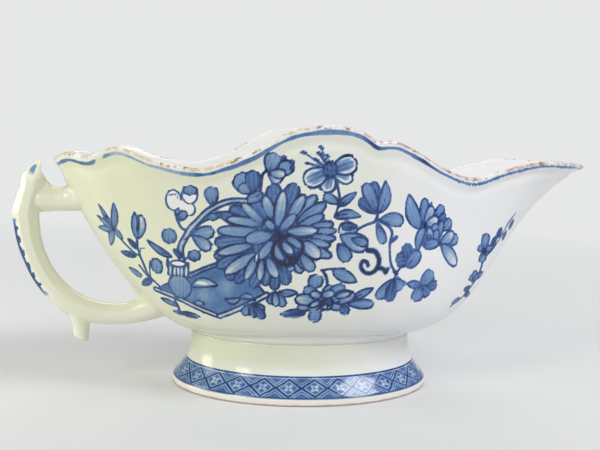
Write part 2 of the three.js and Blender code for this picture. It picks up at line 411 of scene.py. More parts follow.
class Brushwork(Enum):
    """The few ways in which the painter fills a shape."""

    WHITE = Brush(line=0.62, base=-0.3, tip=-0.5)
    RIMMED = Brush(line=0.85, base=0.86, tip=0.3, streaks=0.26, border=1.15)
    PALE = Brush(line=0.82, base=0.46, tip=0.14)
    PETAL = Brush(line=0.75, base=0.52, tip=0.3)
    VEINED = Brush(line=0.75, base=0.55, tip=0.35, veined=True)
    BACK = Brush(line=0.8, base=0.74, tip=0.6)
    DARK = Brush(line=0.75, base=0.77, tip=0.58, veined=True)
    SOLID = Brush(line=0.6, base=0.97, tip=0.95)
    BACKGROUND = Brush(line=0.0, base=0.72, tip=0.64)
    GLINT = Brush(line=0.0, base=0.06, tip=0.02)
    SLIP = Brush(line=0.0, base=-0.5, tip=-0.5)


WHITE, RIMMED, PALE, PETAL, VEINED, BACK, DARK, SOLID, BACKGROUND, GLINT, SLIP = Brushwork


class Form(Enum):
    """The outlines of petals and leaves: how full they are at the base and at the tip."""

    OVAL = (0.5, 0.5)
    LOBE = (0.8, 0.42)
    STRAP = (0.6, 0.5)
    LEAF = (0.65, 0.85)


class Painter:
    """Lays brush lines and washes on one side of the outer wall, back to front."""

    bare: float = -4.0
    least_facing: float = 0.1
    blur: float = 0.3
    shortest: float = 0.3
    steepest: float = 3.0
    unevenness: float = 0.05
    streak_beat: float = 4.2
    pooling: float = 0.16
    vein_half: float = 0.26
    twig_line: float = 0.78

    def __init__(self, points: np.ndarray, normals: np.ndarray, side: int, seed: int) -> None:
        """Takes the wall to paint on.

        Args:
            points: the wall's points in millimetres.
            normals: their normals.
            side: the side to paint, -1 or 1.
            seed: the start of the small unevenness of the hand.
        """
        self.points = points
        self.normals = normals
        self.ink = np.full(len(points), self.bare)
        self.wash = np.zeros(len(points))
        self.random = np.random.default_rng(seed)
        self.mine = np.flatnonzero(points[:, 1] * side > -1.0)

    def on_wall(self, place: Place) -> np.ndarray:
        """The point of the wall at a place seen from the side."""
        return self.points[self._nearest(place)]

    def _nearest(self, place: Place) -> int:
        """Finds a place on the wall.

        Args:
            place: the place seen from the side.

        Returns:
            The number of the nearest point.
        """
        seen = self.points[self.mine]
        away = (seen[:, 0] - place[0]) ** 2 + (seen[:, 2] - place[1]) ** 2
        return int(self.mine[away.argmin()])

    def _near(self, centre: np.ndarray, reach: float, facing: np.ndarray) -> np.ndarray:
        """The points within reach of a centre that face as it does."""
        close = ((self.points - centre) ** 2).sum(axis=1) < reach * reach
        return np.flatnonzero(close & (self.normals @ facing > self.least_facing))

    def cover(self, here: np.ndarray, away: np.ndarray, density: np.ndarray, brush: Brush) -> None:
        """Covers what lies below a shape with its own wash and outline.

        Args:
            here: the points that are close to the shape.
            away: their distance outside its outline in millimetres, negative inside.
            density: the wash at each of them.
            brush: the brush that paints it.
        """
        ink = np.where(away < 0.0, np.minimum(self.ink[here], away), self.ink[here])
        share = smoothstep(self.blur, -self.blur, away)
        self.wash[here] = self.wash[here] * (1.0 - share) + np.clip(density, -1.0, 1.0) * share
        if brush.line > 0.0:
            ink = np.maximum(ink, brush.line / 2 - np.abs(away))
        self.ink[here] = ink

    def petal(
        self, base: Place, tip: Place, width: float, form: Form, work: Brushwork, bend: float = 0.0
    ) -> None:
        """Paints a petal or a leaf.

        Args:
            base: where it starts.
            tip: where it ends.
            width: its greatest width in millimetres.
            form: its outline.
            work: how it is filled.
            bend: how far its middle bows to its left, as a share of its length.
        """
        brush = work.value
        start, end = self.on_wall(base), self.on_wall(tip)
        middle = self._nearest(((base[0] + tip[0]) / 2, (base[1] + tip[1]) / 2))
        facing = self.normals[middle]
        length = float(np.linalg.norm(end - start))
        if length < self.shortest:
            return
        ahead = (end - start) / length
        left = unit(np.cross(facing, ahead))
        here = self._near((start + end) / 2, length / 2 + width + abs(bend) * length + 2.0, facing)
        offset = self.points[here] - start
        t = offset @ ahead / length
        within = np.clip(t, 0.004, 0.996)
        bow = bend * length * 4.0 * within * (1.0 - within)
        s = offset @ left - bow
        full, point = form.value
        peak = full / (full + point)
        most = peak**full * (1.0 - peak) ** point
        half = width / 2 * within**full * (1.0 - within) ** point / most
        slope = half * (full / within - point / (1.0 - within)) / length
        beyond = np.maximum(np.maximum(-t, t - 1.0) * length, 0.0)
        side = np.abs(s) - half
        away = side / np.sqrt(1.0 + np.minimum(slope * slope, self.steepest**2))
        away = np.where(beyond > 0, np.hypot(beyond, np.maximum(side, 0.0)), away)
        uneven = self.random.uniform(-self.unevenness, self.unevenness)
        density = brush.base + (brush.tip - brush.base) * within + uneven
        streak = 1.0 + brush.streaks * np.sin(s * self.streak_beat + self.random.uniform(0, 6.0))
        pooled = self.pooling * smoothstep(-1.1, -0.2, away) * (brush.base > 0.2)
        if brush.border:
            edge = smoothstep(-1.0 - brush.border, -0.35, away)
            pooled = -density * edge * smoothstep(0.15, 0.55, within)
        self.cover(here, away, density * streak + pooled, brush)
        if brush.veined:
            vein = self.vein_half - np.abs(s) - 0.5 * smoothstep(0.4, 0.8, within) - 2.0 * (t < 0.04)
            self.ink[here] = np.maximum(self.ink[here], np.where(away < -0.1, vein, self.bare))

    def petals(self, form: Form, work: Brushwork, *rows: tuple[float, ...]) -> None:
        """Paints petals one over the other, each by its base, its tip, its width and perhaps its bend."""
        for x, z, tip_x, tip_z, width, *bend in rows:
            self.petal((x, z), (tip_x, tip_z), width, form, work, *bend)

    oval = partialmethod(petals, Form.OVAL)
    lobe = partialmethod(petals, Form.LOBE)
    strap = partialmethod(petals, Form.STRAP)
    leaf = partialmethod(petals, Form.LEAF)

    def fan(
        self, base: Place, form: Form, work: Brushwork, *tips: tuple[float, float, float], inner: float = 0.0
    ) -> None:
        """Paints petals or leaves that spread from one place.

        Args:
            base: the place that all of them point to.
            form: their outline.
            work: how they are filled.
            tips: the x, height and width of each tip.
            inner: the share of the way from the base to the tip at which each starts.
        """
        for x, z, width in tips:
            start = (base[0] + (x - base[0]) * inner, base[1] + (z - base[1]) * inner)
            self.petal(start, (x, z), width, form, work)

    def disc(self, centre: Place, radius: float, work: Brushwork = SOLID, tall: float = 1.0) -> None:
        """Paints a round or oval spot, whose height is the given share of its width."""
        x, z = centre
        self.oval(work, (x, z - radius * tall, x, z + radius * tall, 2 * radius))

    def route(self, places: list[Place], step: float = 0.6) -> np.ndarray:
        """Draws a smooth line over the wall.

        Args:
            places: the places that it passes.
            step: the spacing of its points in millimetres.

        Returns:
            Its points.
        """
        knots = np.array([self.on_wall(place) for place in places])
        length = np.linalg.norm(np.diff(knots, axis=0), axis=1).sum()
        count = max(int(length / step), len(places)) + 1
        weights = CurveWeights.row(np.linspace(0, len(knots) - 1, count), len(knots), closed=False)
        return weights @ knots

    def stroke(
        self, places: list[Place], width: float = 0.7, thin_end: float = 0.6, tone: float = 0.0
    ) -> None:
        """Paints a brush stroke.

        Args:
            places: the places that it passes.
            width: its width in millimetres.
            thin_end: the share of the width that is left at its end.
            tone: the wash under it.
        """
        line = self.route(places)
        here, near, along = self._along(line, width + 1.5)
        half = width / 2 * (1.0 + (thin_end - 1.0) * along)
        self.ink[here] = np.maximum(self.ink[here], half - near)
        if tone:
            share = smoothstep(self.blur, -self.blur, near - half)
            self.wash[here] = np.maximum(self.wash[here], tone * share)

    def lighten(self, centre: Place, radius: float, amount: float) -> None:
        """Thins the wash softly round a place.

        Args:
            centre: the place.
            radius: about how far the change reaches.
            amount: how strong it is.
        """
        middle = self._nearest(centre)
        here = self._near(self.points[middle], radius * 1.6, self.normals[middle])
        away = np.linalg.norm(self.points[here] - self.points[middle], axis=1)
        self.wash[here] = self.wash[here] * (1.0 - amount * 2.0 * smoothstep(radius * 1.6, 0.0, away))

    def twig(self, places: list[Place], width: float, thin_end: float = 0.6, tone: float = 0.3) -> None:
        """Paints a stem in double outline.

        Args:
            places: the places that it passes.
            width: its width in millimetres.
            thin_end: the share of the width that is left at its end.
            tone: the wash between the lines.
        """
        line = self.route(places)
        here, near, along = self._along(line, width + 2.0)
        half = width / 2 * (1.0 + (thin_end - 1.0) * along)
        self.cover(here, near - half, np.full(len(here), tone), Brush(line=self.twig_line))

    def _along(self, line: np.ndarray, reach: float) -> tuple[np.ndarray, np.ndarray, np.ndarray]:
        """Finds the points close to a line.

        Args:
            line: the line's points.
            reach: how close they are in millimetres.

        Returns:
            The points, how near each is and how far along the line, from 0 to 1.
        """
        low, high = line.min(axis=0) - reach, line.max(axis=0) + reach
        here = np.flatnonzero(((self.points > low) & (self.points < high)).all(axis=1))
        points = self.points[here]
        best = np.full(len(here), 1e9)
        along = np.zeros(len(here))
        pieces = len(line) - 1
        for i in range(pieces):
            run = line[i + 1] - line[i]
            share = np.clip((points - line[i]) @ run / max(run @ run, 1e-9), 0.0, 1.0)
            gap = np.linalg.norm(points - line[i] - share[:, None] * run, axis=1)
            closer = gap < best
            best[closer] = gap[closer]
            along[closer] = (i + share[closer]) / pieces
        keep = best < reach
        return here[keep], best[keep], along[keep]

    def region(self, corners: list[Place], brush: Brush) -> None:
        """Paints a flat shape with straight sides.

        Args:
            corners: its corners in order.
            brush: the brush that fills it.
        """
        solid = np.array([self.on_wall(corner) for corner in corners])
        centre = solid.mean(axis=0)
        facing = self.normals[int(((self.points - centre) ** 2).sum(axis=1).argmin())]
        across = unit(np.cross(np.array([0.0, 0.0, 1.0]), facing))
        up = np.cross(facing, across)
        here = self._near(centre, np.linalg.norm(solid - centre, axis=1).max() + 2.0, facing)
        plane = np.stack([across, up], axis=1)
        flat, outline = (self.points[here] - centre) @ plane, (solid - centre) @ plane
        away = polygon_distance(flat, outline)
        rise = (flat[:, 1] - flat[:, 1].min()) / np.ptp(flat[:, 1])
        self.cover(here, away, brush.base + (brush.tip - brush.base) * rise, brush)


def polygon_distance(points: np.ndarray, corners: np.ndarray) -> np.ndarray:
    """Measures how far flat points are from the edge of a polygon.

    Args:
        points: the points.
        corners: the polygon's corners in order.

    Returns:
        The distances, negative inside the polygon.
    """
    best = np.full(len(points), 1e9)
    inside = np.zeros(len(points), bool)
    for a, b in zip(corners, np.roll(corners, -1, axis=0)):
        run = b - a
        share = np.clip((points - a) @ run / (run @ run), 0.0, 1.0)
        best = np.minimum(best, np.linalg.norm(points - a - share[:, None] * run, axis=1))
        crosses = (a[1] > points[:, 1]) != (b[1] > points[:, 1])
        reach = a[0] + (points[:, 1] - a[1]) / (run[1] if run[1] else 1e-9) * run[0]
        inside ^= crosses & (points[:, 0] < reach)
    return np.where(inside, -best, best)


def around(centre: Place, angle: float, reach: Place) -> Place:
    """The place at an angle in degrees from a centre, on an oval of the given reaches."""
    turn = math.radians(angle)
    return centre[0] + reach[0] * math.cos(turn), centre[1] + reach[1] * math.sin(turn)


@dataclass
class FlowerPainting:
    """The flower spray that fills one side of the bowl, motif by motif from the handle to the spout."""

    painter: Painter

    def paint(self) -> None:
        """Paints every motif, those behind before those in front."""
        for motif in (
            self.left_sprig, self.bud_on_stem, self.white_flower, self.branch, self.tray, self.vase,
            self.chrysanthemum, self.buds_above, self.open_blossom, self.leaf_spray, self.scrolled_leaf,
            self.peony, self.side_flower, self.prow_sprig,
        ):
            motif()

    def left_sprig(self) -> None:
        """A star of small pointed leaves near the handle."""
        p = self.painter
        centre = (-72.2, 59.4)
        p.stroke([centre, (-68.8, 55.0), (-65.2, 51.8), (-63.2, 50.4)], 0.9)
        p.fan(centre, Form.LEAF, PALE, (-73.8, 53.2, 2.6), (-78.0, 59.0, 2.0), (-78.0, 63.4, 2.0))
        p.fan(centre, Form.LEAF, VEINED, (-77.5, 67.8, 2.1), (-68.8, 56.2, 2.4))
        p.leaf(PETAL, (*centre, -71.8, 68.6, 2.6, -0.05))
        p.disc((-74.8, 63.6), 0.7)
        p.disc(centre, 0.8)

    def bud_on_stem(self) -> None:
        """A tulip bud on a long bent stem with small leaves."""
        p = self.painter
        foot = (-63.9, 56.8)
        p.stroke([foot, (-63.5, 53.5), (-62.9, 50.8), (-61.5, 47.2), (-59.8, 43.6), (-55.8, 39.6)], 1.0, 0.8)
        p.stroke([(-63.0, 46.8), (-61.2, 44.2), (-59.6, 42.6)], 0.7)
        p.stroke([(-62.8, 51.8), (-62.6, 53.3), (-61.2, 53.6)], 0.7)
        p.strap(PALE, (*foot, -62.2, 65.0, 3.9, -0.05))
        p.leaf(PETAL, (*foot, -64.7, 65.7, 2.5, 0.03))
        p.leaf(SOLID, (-63.7, 58.4, -63.2, 63.6, 1.0))
        p.leaf(DARK, (-64.4, 50.4, -69.5, 50.8, 2.0), (-63.9, 52.8, -67.1, 56.2, 1.7))
        p.leaf(PETAL, (-62.4, 42.8, -66.8, 45.0, 2.6))
        p.leaf(DARK, (-58.8, 42.0, -62.0, 39.2, 2.2))
        p.stroke([(-59.1, 48.8), (-59.4, 45.4), (-59.2, 42.4)], 0.8)
        p.disc((-57.0, 47.2), 2.3, VEINED, 1.05)
        p.leaf(VEINED, (-51.8, 51.0, -60.5, 56.2, 2.2, 0.05))
        p.disc((-52.9, 58.3), 2.5, VEINED, 1.0)

    def white_flower(self) -> None:
        """A flower with three pale petals on a blue cup."""
        p = self.painter
        p.stroke([(-51.0, 66.8), (-49.8, 63.6), (-48.6, 61.4), (-47.3, 60.5)], 0.9, 1.0)
        p.disc((-47.2, 67.9), 2.9, WHITE, 0.8)
        p.disc((-46.3, 72.8), 2.6, WHITE, 1.1)
        p.oval(PETAL, (-46.5, 72.9, -46.1, 75.8, 4.6))
        p.disc((-51.7, 70.9), 2.6, WHITE, 1.3)
        p.disc((-49.2, 69.4), 1.5, SLIP, 0.9)
        p.stroke([(-52.8, 72.6), (-51.0, 73.0), (-50.4, 71.4)], 0.45)
        p.lobe(VEINED, (-49.8, 64.0, -47.6, 67.0, 2.6), (-38.6, 69.6, -39.5, 75.6, 4.4))

    def branch(self) -> None:
        """The main branch, which rises from the vase and bends to the buds above."""
        p = self.painter
        p.twig([(-45.2, 61.4), (-42.4, 64.0), (-39.0, 66.0), (-35.4, 66.8), (-32.0, 66.4)], 1.5, 0.9, 0.2)
        route = [(-48.4, 49.6), (-48.8, 54.6), (-47.2, 58.3), (-45.6, 61.2), (-43.4, 64.0), (-40.6, 66.8)]
        p.twig(route + [(-37.4, 69.2), (-34.0, 70.8), (-30.6, 71.6), (-27.4, 71.4)], 1.8, 0.8, 0.24)
        p.lobe(PETAL, (-45.4, 59.0, -38.3, 61.0, 4.2))
        p.lobe(PALE, (-45.2, 58.8, -39.4, 54.8, 3.9))
        p.stroke([(-45.4, 59.0), (-47.6, 57.4)], 0.8)
        p.disc((-38.6, 65.8), 1.7, VEINED, 0.7)
        p.stroke([(-47.6, 50.2), (-46.0, 52.0)], 0.8)
        p.disc((-44.2, 52.1), 2.0, VEINED, 0.9)
        p.leaf(DARK, (-48.6, 51.2, -51.4, 53.8, 1.9))

    def tray(self) -> None:
        """A spread cloth under the vase, with a rolled edge, a ribbon and a few leaves."""
        p = self.painter
        edge = [(-57.6, 38.0), (-54.0, 40.5), (-46.1, 45.4), (-36.0, 50.2), (-26.0, 46.0), (-20.2, 39.8)]
        p.region(edge + [(-35.0, 31.0), (-40.4, 31.6), (-46.0, 34.2)], Brush(line=0.8, base=0.5, tip=0.7))
        p.twig([(-57.2, 38.2), (-50.0, 36.2), (-44.2, 33.8), (-36.4, 30.9)], 1.6, 1.0, 0.2)
        p.twig([(-20.0, 39.6), (-24.6, 36.4), (-30.0, 33.4), (-35.4, 30.8)], 1.6, 1.0, 0.2)
        p.twig([(-46.0, 44.8), (-41.0, 47.4), (-36.0, 49.4)], 1.2, 1.0, 0.3)
        for x, z, size in ((-40.4, 38.4, 3.4), (-45.6, 38.0, 1.8), (-33.4, 41.4, 3.0), (-29.4, 36.4, 1.6)):
            p.lighten((x, z), size, 0.22)
        p.leaf(PALE, (-45.0, 41.4, -36.2, 42.0, 3.4, 0.12))
        p.leaf(GLINT, (-43.6, 42.2, -39.2, 41.8, 1.1, 0.1))
        p.leaf(PALE, (-33.6, 37.2, -28.2, 38.4, 2.2, -0.18), (-28.8, 38.1, -23.6, 37.2, 2.1, 0.18))
        p.disc((-42.3, 34.9), 1.8, PALE, 0.5)
        p.leaf(VEINED, (-49.8, 33.0, -55.4, 34.8, 2.2))
        p.stroke([(-50.6, 35.0), (-49.2, 32.4), (-48.8, 30.4)], 1.1, 1.0, 0.9)
        p.leaf(DARK, (-47.4, 30.4, -50.8, 30.0, 1.8), (-47.8, 30.4, -42.0, 30.0, 2.6))
        p.fan((-24.6, 36.0), Form.LOBE, VEINED, (-27.2, 31.8, 3.0), (-20.4, 33.6, 3.0))
        p.fan((-24.4, 36.0), Form.LOBE, DARK, (-23.6, 31.0, 3.4), (-20.6, 31.0, 2.8))

    def vase(self) -> None:
        """A small round vase with a ribbed neck and an open mouth."""
        p = self.painter
        p.fan((-48.9, 37.6), Form.OVAL, DARK, (-50.6, 35.9, 1.4), (-46.9, 35.7, 1.4))
        p.oval(PETAL, (-49.0, 36.6, -49.0, 44.9, 8.8))
        neck = [(-53.0, 49.2), (-46.3, 49.0), (-46.2, 44.4), (-52.9, 44.7)]
        p.region(neck, Brush(line=0.75, base=0.86, tip=0.7))
        for rib in range(5):
            left = -52.2 + 1.28 * rib
            p.oval(GLINT, (left, 44.4, left, 47.8, 0.85))
        p.oval(WHITE, (-52.2, 48.9, -46.9, 48.8, 2.3))
        p.stroke([(-53.2, 50.0), (-53.5, 48.2), (-53.0, 46.2)], 1.0, 0.9)

    def chrysanthemum(self) -> None:
        """The great open flower in the middle: petals from the back to the curl at its heart."""
        p = self.painter
        heart = (-16.8, 59.7)
        p.disc((-17.6, 58.8), 12.0, BACK, 0.94)
        behind = (
            (-19.2, 77.2, 5.2), (-11.6, 77.4, 4.8), (-25.6, 73.4, 4.4), (-32.4, 68.8, 4.4),
            (-35.4, 66.6, 3.6), (-37.6, 56.8, 4.4), (-37.2, 52.0, 4.2), (-36.4, 48.6, 4.0),
            (-33.2, 44.6, 4.2), (-30.2, 43.6, 4.0), (-24.8, 41.9, 3.8), (-20.6, 42.8, 3.6),
            (-17.2, 41.5, 3.6), (-13.0, 43.3, 3.8),
        )
        p.fan(heart, Form.LOBE, BACK, *behind, inner=0.4)
        right = (
            (-4.4, 74.0, 3.6), (-1.4, 71.2, 3.8), (-1.6, 67.6, 3.2), (1.8, 64.7, 3.4),
            (2.6, 62.3, 2.8), (2.6, 59.6, 2.8), (1.2, 57.4, 3.0), (1.4, 53.0, 3.4),
        )
        p.fan(heart, Form.STRAP, PETAL, *right, inner=0.42)
        below = ((-12.4, 47.8, 3.2), (-8.7, 47.6, 3.2), (-7.0, 49.4, 3.4), (-4.4, 48.2, 3.6))
        p.fan((-10.8, 56.0), Form.LOBE, PETAL, *below, inner=0.2)
        p.strap(PALE, (-21.4, 63.6, -33.8, 65.2, 3.2))
        p.strap(PETAL, (-22.0, 61.2, -36.8, 61.2, 3.9))
        upper = ((-29.2, 70.4, 3.1), (-21.8, 73.6, 3.7), (-8.6, 74.0, 3.8))
        p.fan(heart, Form.STRAP, PALE, *upper, inner=0.42)
        p.strap(PALE, (-17.1, 62.6, -15.5, 75.0, 4.0))
        p.strap(PETAL, (-16.0, 61.6, -11.3, 67.3, 3.2))
        p.fan(heart, Form.STRAP, PALE, (-36.4, 53.0, 3.5), (-33.8, 46.4, 4.1), inner=0.42)
        p.strap(PETAL, (-18.4, 58.0, -22.9, 52.0, 3.4))
        p.strap(
            PALE, (-23.4, 53.2, -27.3, 44.4, 3.2), (-22.0, 51.6, -22.5, 44.3, 2.7),
            (-20.0, 52.6, -16.6, 45.5, 3.6), (-8.2, 58.4, -2.3, 52.8, 4.4), (-14.2, 61.4, -3.7, 62.0, 3.7),
        )
        p.oval(WHITE, (-23.3, 54.2, -23.8, 50.4, 1.5))
        p.strap(PETAL, (-18.5, 60.3, -27.5, 58.5, 4.6))
        p.stroke([(-17.6, 61.4), (-19.2, 65.6), (-21.6, 65.2), (-22.2, 62.8), (-21.0, 61.6)], 1.0, 0.8)
        p.strap(PETAL, (-17.7, 61.6, -20.9, 64.8, 2.8))
        self._curl(heart)

    def _curl(self, heart: Place) -> None:
        """The dark curl of small petals at the heart of the great flower.

        Args:
            heart: the middle of the flower.
        """
        p = self.painter
        p.disc((-12.8, 52.6), 2.9, SOLID, 0.95)
        p.strap(PETAL, (-14.2, 59.2, -8.2, 56.0, 3.4, 0.1))
        p.strap(PALE, (-15.8, 57.8, -11.3, 54.0, 3.0))
        p.strap(PETAL, (-17.6, 58.2, -14.6, 51.6, 2.6, -0.16))
        over = [heart, (-12.8, 60.3), (-8.9, 58.0), (-8.3, 55.7), (-9.4, 53.0), (-11.4, 50.4)]
        p.stroke(over, 1.3, 1.0, 0.97)
        p.stroke([heart, (-18.5, 55.6), (-18.0, 52.2), (-15.3, 50.4), (-12.4, 49.9)], 1.5, 1.0, 0.97)
        p.stroke([(-16.0, 58.4), (-15.0, 54.8), (-12.6, 52.4), (-9.8, 52.6)], 1.2, 1.2, 0.97)
        p.disc((-13.2, 51.4), 1.2, SOLID, 0.8)
        p.disc(heart, 2.0, SOLID, 0.9)
        p.fan(heart, Form.LEAF, SOLID, (-17.4, 63.4, 1.8), (-13.0, 60.0, 1.8), (-16.0, 55.6, 1.6))

    def buds_above(self) -> None:
        """Two buds over the great flower."""
        p = self.painter
        p.stroke([(-23.4, 74.4), (-23.0, 77.4), (-22.3, 80.6), (-20.6, 82.2)], 1.1, 0.8)
        p.oval(VEINED, (-22.4, 74.2, -27.2, 71.4, 3.6))
        p.lobe(VEINED, (-25.4, 74.0, -31.4, 79.6, 6.0))
        p.lobe(DARK, (-25.2, 74.0, -26.2, 81.4, 4.8))
        p.lobe(PETAL, (-26.0, 74.2, -30.2, 76.6, 3.4))
        heart = (-20.4, 81.0)
        p.fan(heart, Form.LOBE, VEINED, (-12.6, 83.8, 4.8), (-18.6, 87.4, 5.2))
        p.fan(heart, Form.LOBE, PALE, (-16.4, 78.2, 3.8), (-15.2, 80.4, 3.2))
        for spot in ((-13.2, 84.8), (-13.0, 82.6), (-15.6, 86.2)):
            p.disc(spot, 0.7)

    def open_blossom(self) -> None:
        """A blossom seen from the side, with stamens that reach out to the left."""
        p = self.painter
        heart = (0.2, 82.2)
        p.stroke([(2.0, 77.8), (3.6, 74.2), (3.4, 71.2), (2.3, 67.2)], 1.0)
        p.lobe(PETAL, (3.2, 71.2, -1.6, 74.4, 2.8))
        p.leaf(VEINED, (3.4, 71.0, 8.9, 75.2, 2.4), (2.0, 66.8, 11.2, 67.2, 2.9, 0.1))
        for x, z, size in (
            (-9.4, 88.0, 0.85), (-3.3, 90.0, 0.65), (-4.0, 87.8, 0.65),
            (-1.0, 87.4, 0.5), (-8.0, 84.6, 0.7), (-5.2, 85.9, 0.6),
        ):
            p.stroke([heart, (x, z)], 0.72, 0.9)
            p.disc((x, z), size, SOLID, 0.6)
        p.fan(heart, Form.LEAF, PETAL, (-2.0, 84.6, 1.8), (0.4, 85.6, 1.8))
        petals = (7.4, 79.0, 4.4), (-1.2, 75.2, 5.4), (-8.6, 78.2, 6.4), (8.8, 85.4, 6.4)
        p.fan(heart, Form.LOBE, RIMMED, *petals)
        for x, z in ((3.6, 83.4), (4.2, 84.6), (-3.4, 81.0), (-3.8, 80.0), (-0.6, 78.8), (3.4, 80.6)):
            p.stroke([heart, (x, z)], 0.5, 0.5)
        p.disc(heart, 2.4, BACK, 1.1)
        for step in range(5):
            p.disc(around(heart, 72.0 * step + 18.0, (1.65, 1.95)), 0.36, SOLID)
        p.disc(heart, 0.4, SOLID)

    def leaf_spray(self) -> None:
        """A tulip with its leaves down the right of the great flower."""
        p = self.painter
        p.stroke([(17.0, 69.4), (16.8, 65.9), (13.0, 64.2), (9.6, 62.4)], 1.1, 0.8)
        bends = [(16.8, 66.0), (20.4, 64.4), (22.8, 61.5), (22.3, 57.7), (22.6, 52.4)]
        p.stroke(bends + [(23.7, 49.2), (25.5, 47.2)], 1.0, 0.8)
        p.fan((17.4, 68.6), Form.LOBE, DARK, (10.8, 73.0, 4.4), (14.9, 78.6, 3.6))
        p.lobe(VEINED, (17.4, 68.6, 12.2, 78.0, 4.4))
        p.leaf(VEINED, (17.8, 68.2, 19.5, 79.2, 4.2, -0.1))
        p.lobe(PETAL, (18.2, 66.2, 26.8, 65.4, 4.4, 0.05))
        p.lobe(VEINED, (17.0, 64.8, 19.6, 57.8, 3.0))
        p.stroke([(22.6, 58.4), (24.2, 59.6)], 1.2, 1.2, 0.6)
        p.lobe(PALE, (10.2, 62.9, 3.6, 62.0, 5.0))
        p.lobe(DARK, (10.0, 63.8, 4.8, 64.0, 2.6))
        p.lobe(VEINED, (3.6, 57.6, 7.3, 51.9, 4.2))
        p.lobe(PALE, (4.2, 60.4, 13.9, 56.6, 6.0))
        p.lobe(VEINED, (8.4, 59.2, 13.8, 57.8, 3.0))

    def scrolled_leaf(self) -> None:
        """A dark leaf that curls back on itself, with its neighbours below the great flower."""
        p = self.painter
        curl = [(14.2, 55.2), (17.0, 54.9), (18.6, 52.1), (17.9, 49.0), (15.7, 47.6), (13.4, 47.8)]
        p.stroke(curl + [(12.0, 49.8), (12.7, 51.6), (14.1, 51.4), (14.8, 50.2)], 1.7, 0.7, 0.97)
        p.stroke([(18.0, 49.4), (20.0, 48.8), (21.4, 47.4), (22.0, 48.8)], 1.5, 0.8, 0.95)
        p.stroke([(-1.9, 48.2), (2.0, 48.8), (6.4, 49.2)], 0.8)
        p.leaf(PETAL, (2.4, 48.2, 10.8, 44.2, 4.0))
        p.stroke([(-1.4, 48.4), (0.5, 45.8), (1.1, 42.3)], 1.1, 0.9)
        p.disc((-3.6, 44.6), 2.4, PETAL, 0.95)

    def peony(self) -> None:
        """A low wide flower near the foot, with leaves on both sides and a smaller one to its left."""
        p = self.painter
        p.leaf(VEINED, (10.2, 38.4, 16.8, 42.0, 2.5))
        p.lobe(PETAL, (8.6, 36.6, 17.2, 36.2, 3.4))
        p.leaf(DARK, (-6.4, 33.2, -14.8, 32.2, 2.9))
        p.disc((-2.9, 32.2), 2.1, PETAL)
        p.lobe(DARK, (5.6, 36.2, 8.6, 32.6, 2.8))
        heart = (-0.8, 38.0)
        lower = ((5.8, 34.8, 3.4), (-8.6, 35.0, 3.6), (-4.8, 33.8, 3.8), (1.8, 33.8, 3.8))
        p.fan(heart, Form.LOBE, PETAL, *lower)
        p.fan(heart, Form.LOBE, VEINED, (-7.0, 42.0, 3.6), (2.4, 42.6, 3.6), (6.6, 42.6, 4.2))
        p.disc(heart, 5.0, DARK, 0.5)
        p.oval(PETAL, (2.6, 38.2, 10.4, 39.6, 5.0))
        p.oval(
            PALE, (4.0, 38.8, 9.2, 40.6, 2.4), (-3.0, 37.8, -10.0, 38.2, 4.2), (-1.2, 39.2, -4.8, 40.2, 2.8),
            (-1.0, 39.4, 3.6, 40.4, 3.0), (-1.4, 37.2, -4.6, 35.4, 2.2), (-1.2, 37.0, 1.4, 34.8, 2.4),
        )
        for x, z in ((-3.2, 38.2), (0.4, 38.0), (2.8, 37.4), (-1.0, 36.2), (5.0, 36.9)):
            p.disc((x, z), 0.8, SOLID, 0.6)
        p.fan((-17.0, 40.6), Form.LOBE, VEINED, (-18.7, 36.4, 2.8), (-13.8, 35.4, 2.8))
        p.lobe(PALE, (-17.0, 40.6, -16.2, 35.7, 2.6))
        p.leaf(VEINED, (-15.8, 39.8, -9.6, 40.3, 2.4))

    def side_flower(self) -> None:
        """The open flower towards the spout, seen half from the side, with its leaves below."""
        p = self.painter
        p.stroke([(32.6, 55.8), (29.8, 54.0), (26.0, 48.2), (23.8, 47.8)], 0.9)
        p.stroke([(23.9, 47.9), (26.5, 45.4), (30.0, 43.3)], 0.6)
        p.oval(DARK, (30.0, 52.2, 25.0, 51.6, 5.2), (29.8, 52.4, 28.0, 57.2, 4.2))
        p.oval(VEINED, (29.0, 49.4, 33.8, 54.4, 4.6))
        p.leaf(PETAL, (33.3, 62.8, 28.7, 74.8, 5.4, 0.07))
        p.disc((39.6, 62.8), 4.4, BACKGROUND, 1.2)
        p.disc((36.4, 59.6), 3.0, BACKGROUND, 1.3)
        p.lobe(VEINED, (35.0, 63.6, 35.1, 73.0, 3.6))
        p.leaf(DARK, (36.4, 64.6, 38.3, 71.8, 2.8))
        p.lobe(VEINED, (39.6, 66.4, 43.2, 70.2, 3.6))
        p.lobe(DARK, (41.0, 64.6, 44.2, 67.2, 3.0))
        p.lobe(VEINED, (43.4, 61.8, 47.4, 65.0, 3.8))
        p.lobe(PALE, (35.6, 63.6, 38.5, 70.0, 3.9))
        p.lobe(PETAL, (45.0, 57.4, 50.6, 58.2, 3.9))
        p.lobe(PALE, (42.4, 56.8, 48.6, 60.4, 4.2))
        p.strap(PALE, (43.2, 56.4, 50.6, 48.8, 5.0))
        p.lobe(PETAL, (41.0, 58.0, 43.2, 64.6, 3.0))
        p.lobe(PALE, (35.4, 63.6, 41.2, 65.8, 3.6))
        p.lobe(PETAL, (37.4, 60.0, 41.3, 63.6, 3.8))
        p.oval(PALE, (38.6, 57.6, 37.6, 63.0, 3.4))
        p.oval(PETAL, (40.6, 57.8, 40.8, 62.0, 3.0))
        p.oval(VEINED, (35.6, 56.6, 42.0, 57.4, 3.4))
        p.strap(PETAL, (32.8, 55.4, 35.4, 63.0, 3.2, 0.1))
        p.disc((35.5, 64.0), 1.2)
        p.disc((42.2, 57.4), 0.9)
        p.disc((37.4, 59.4), 1.2, DARK)
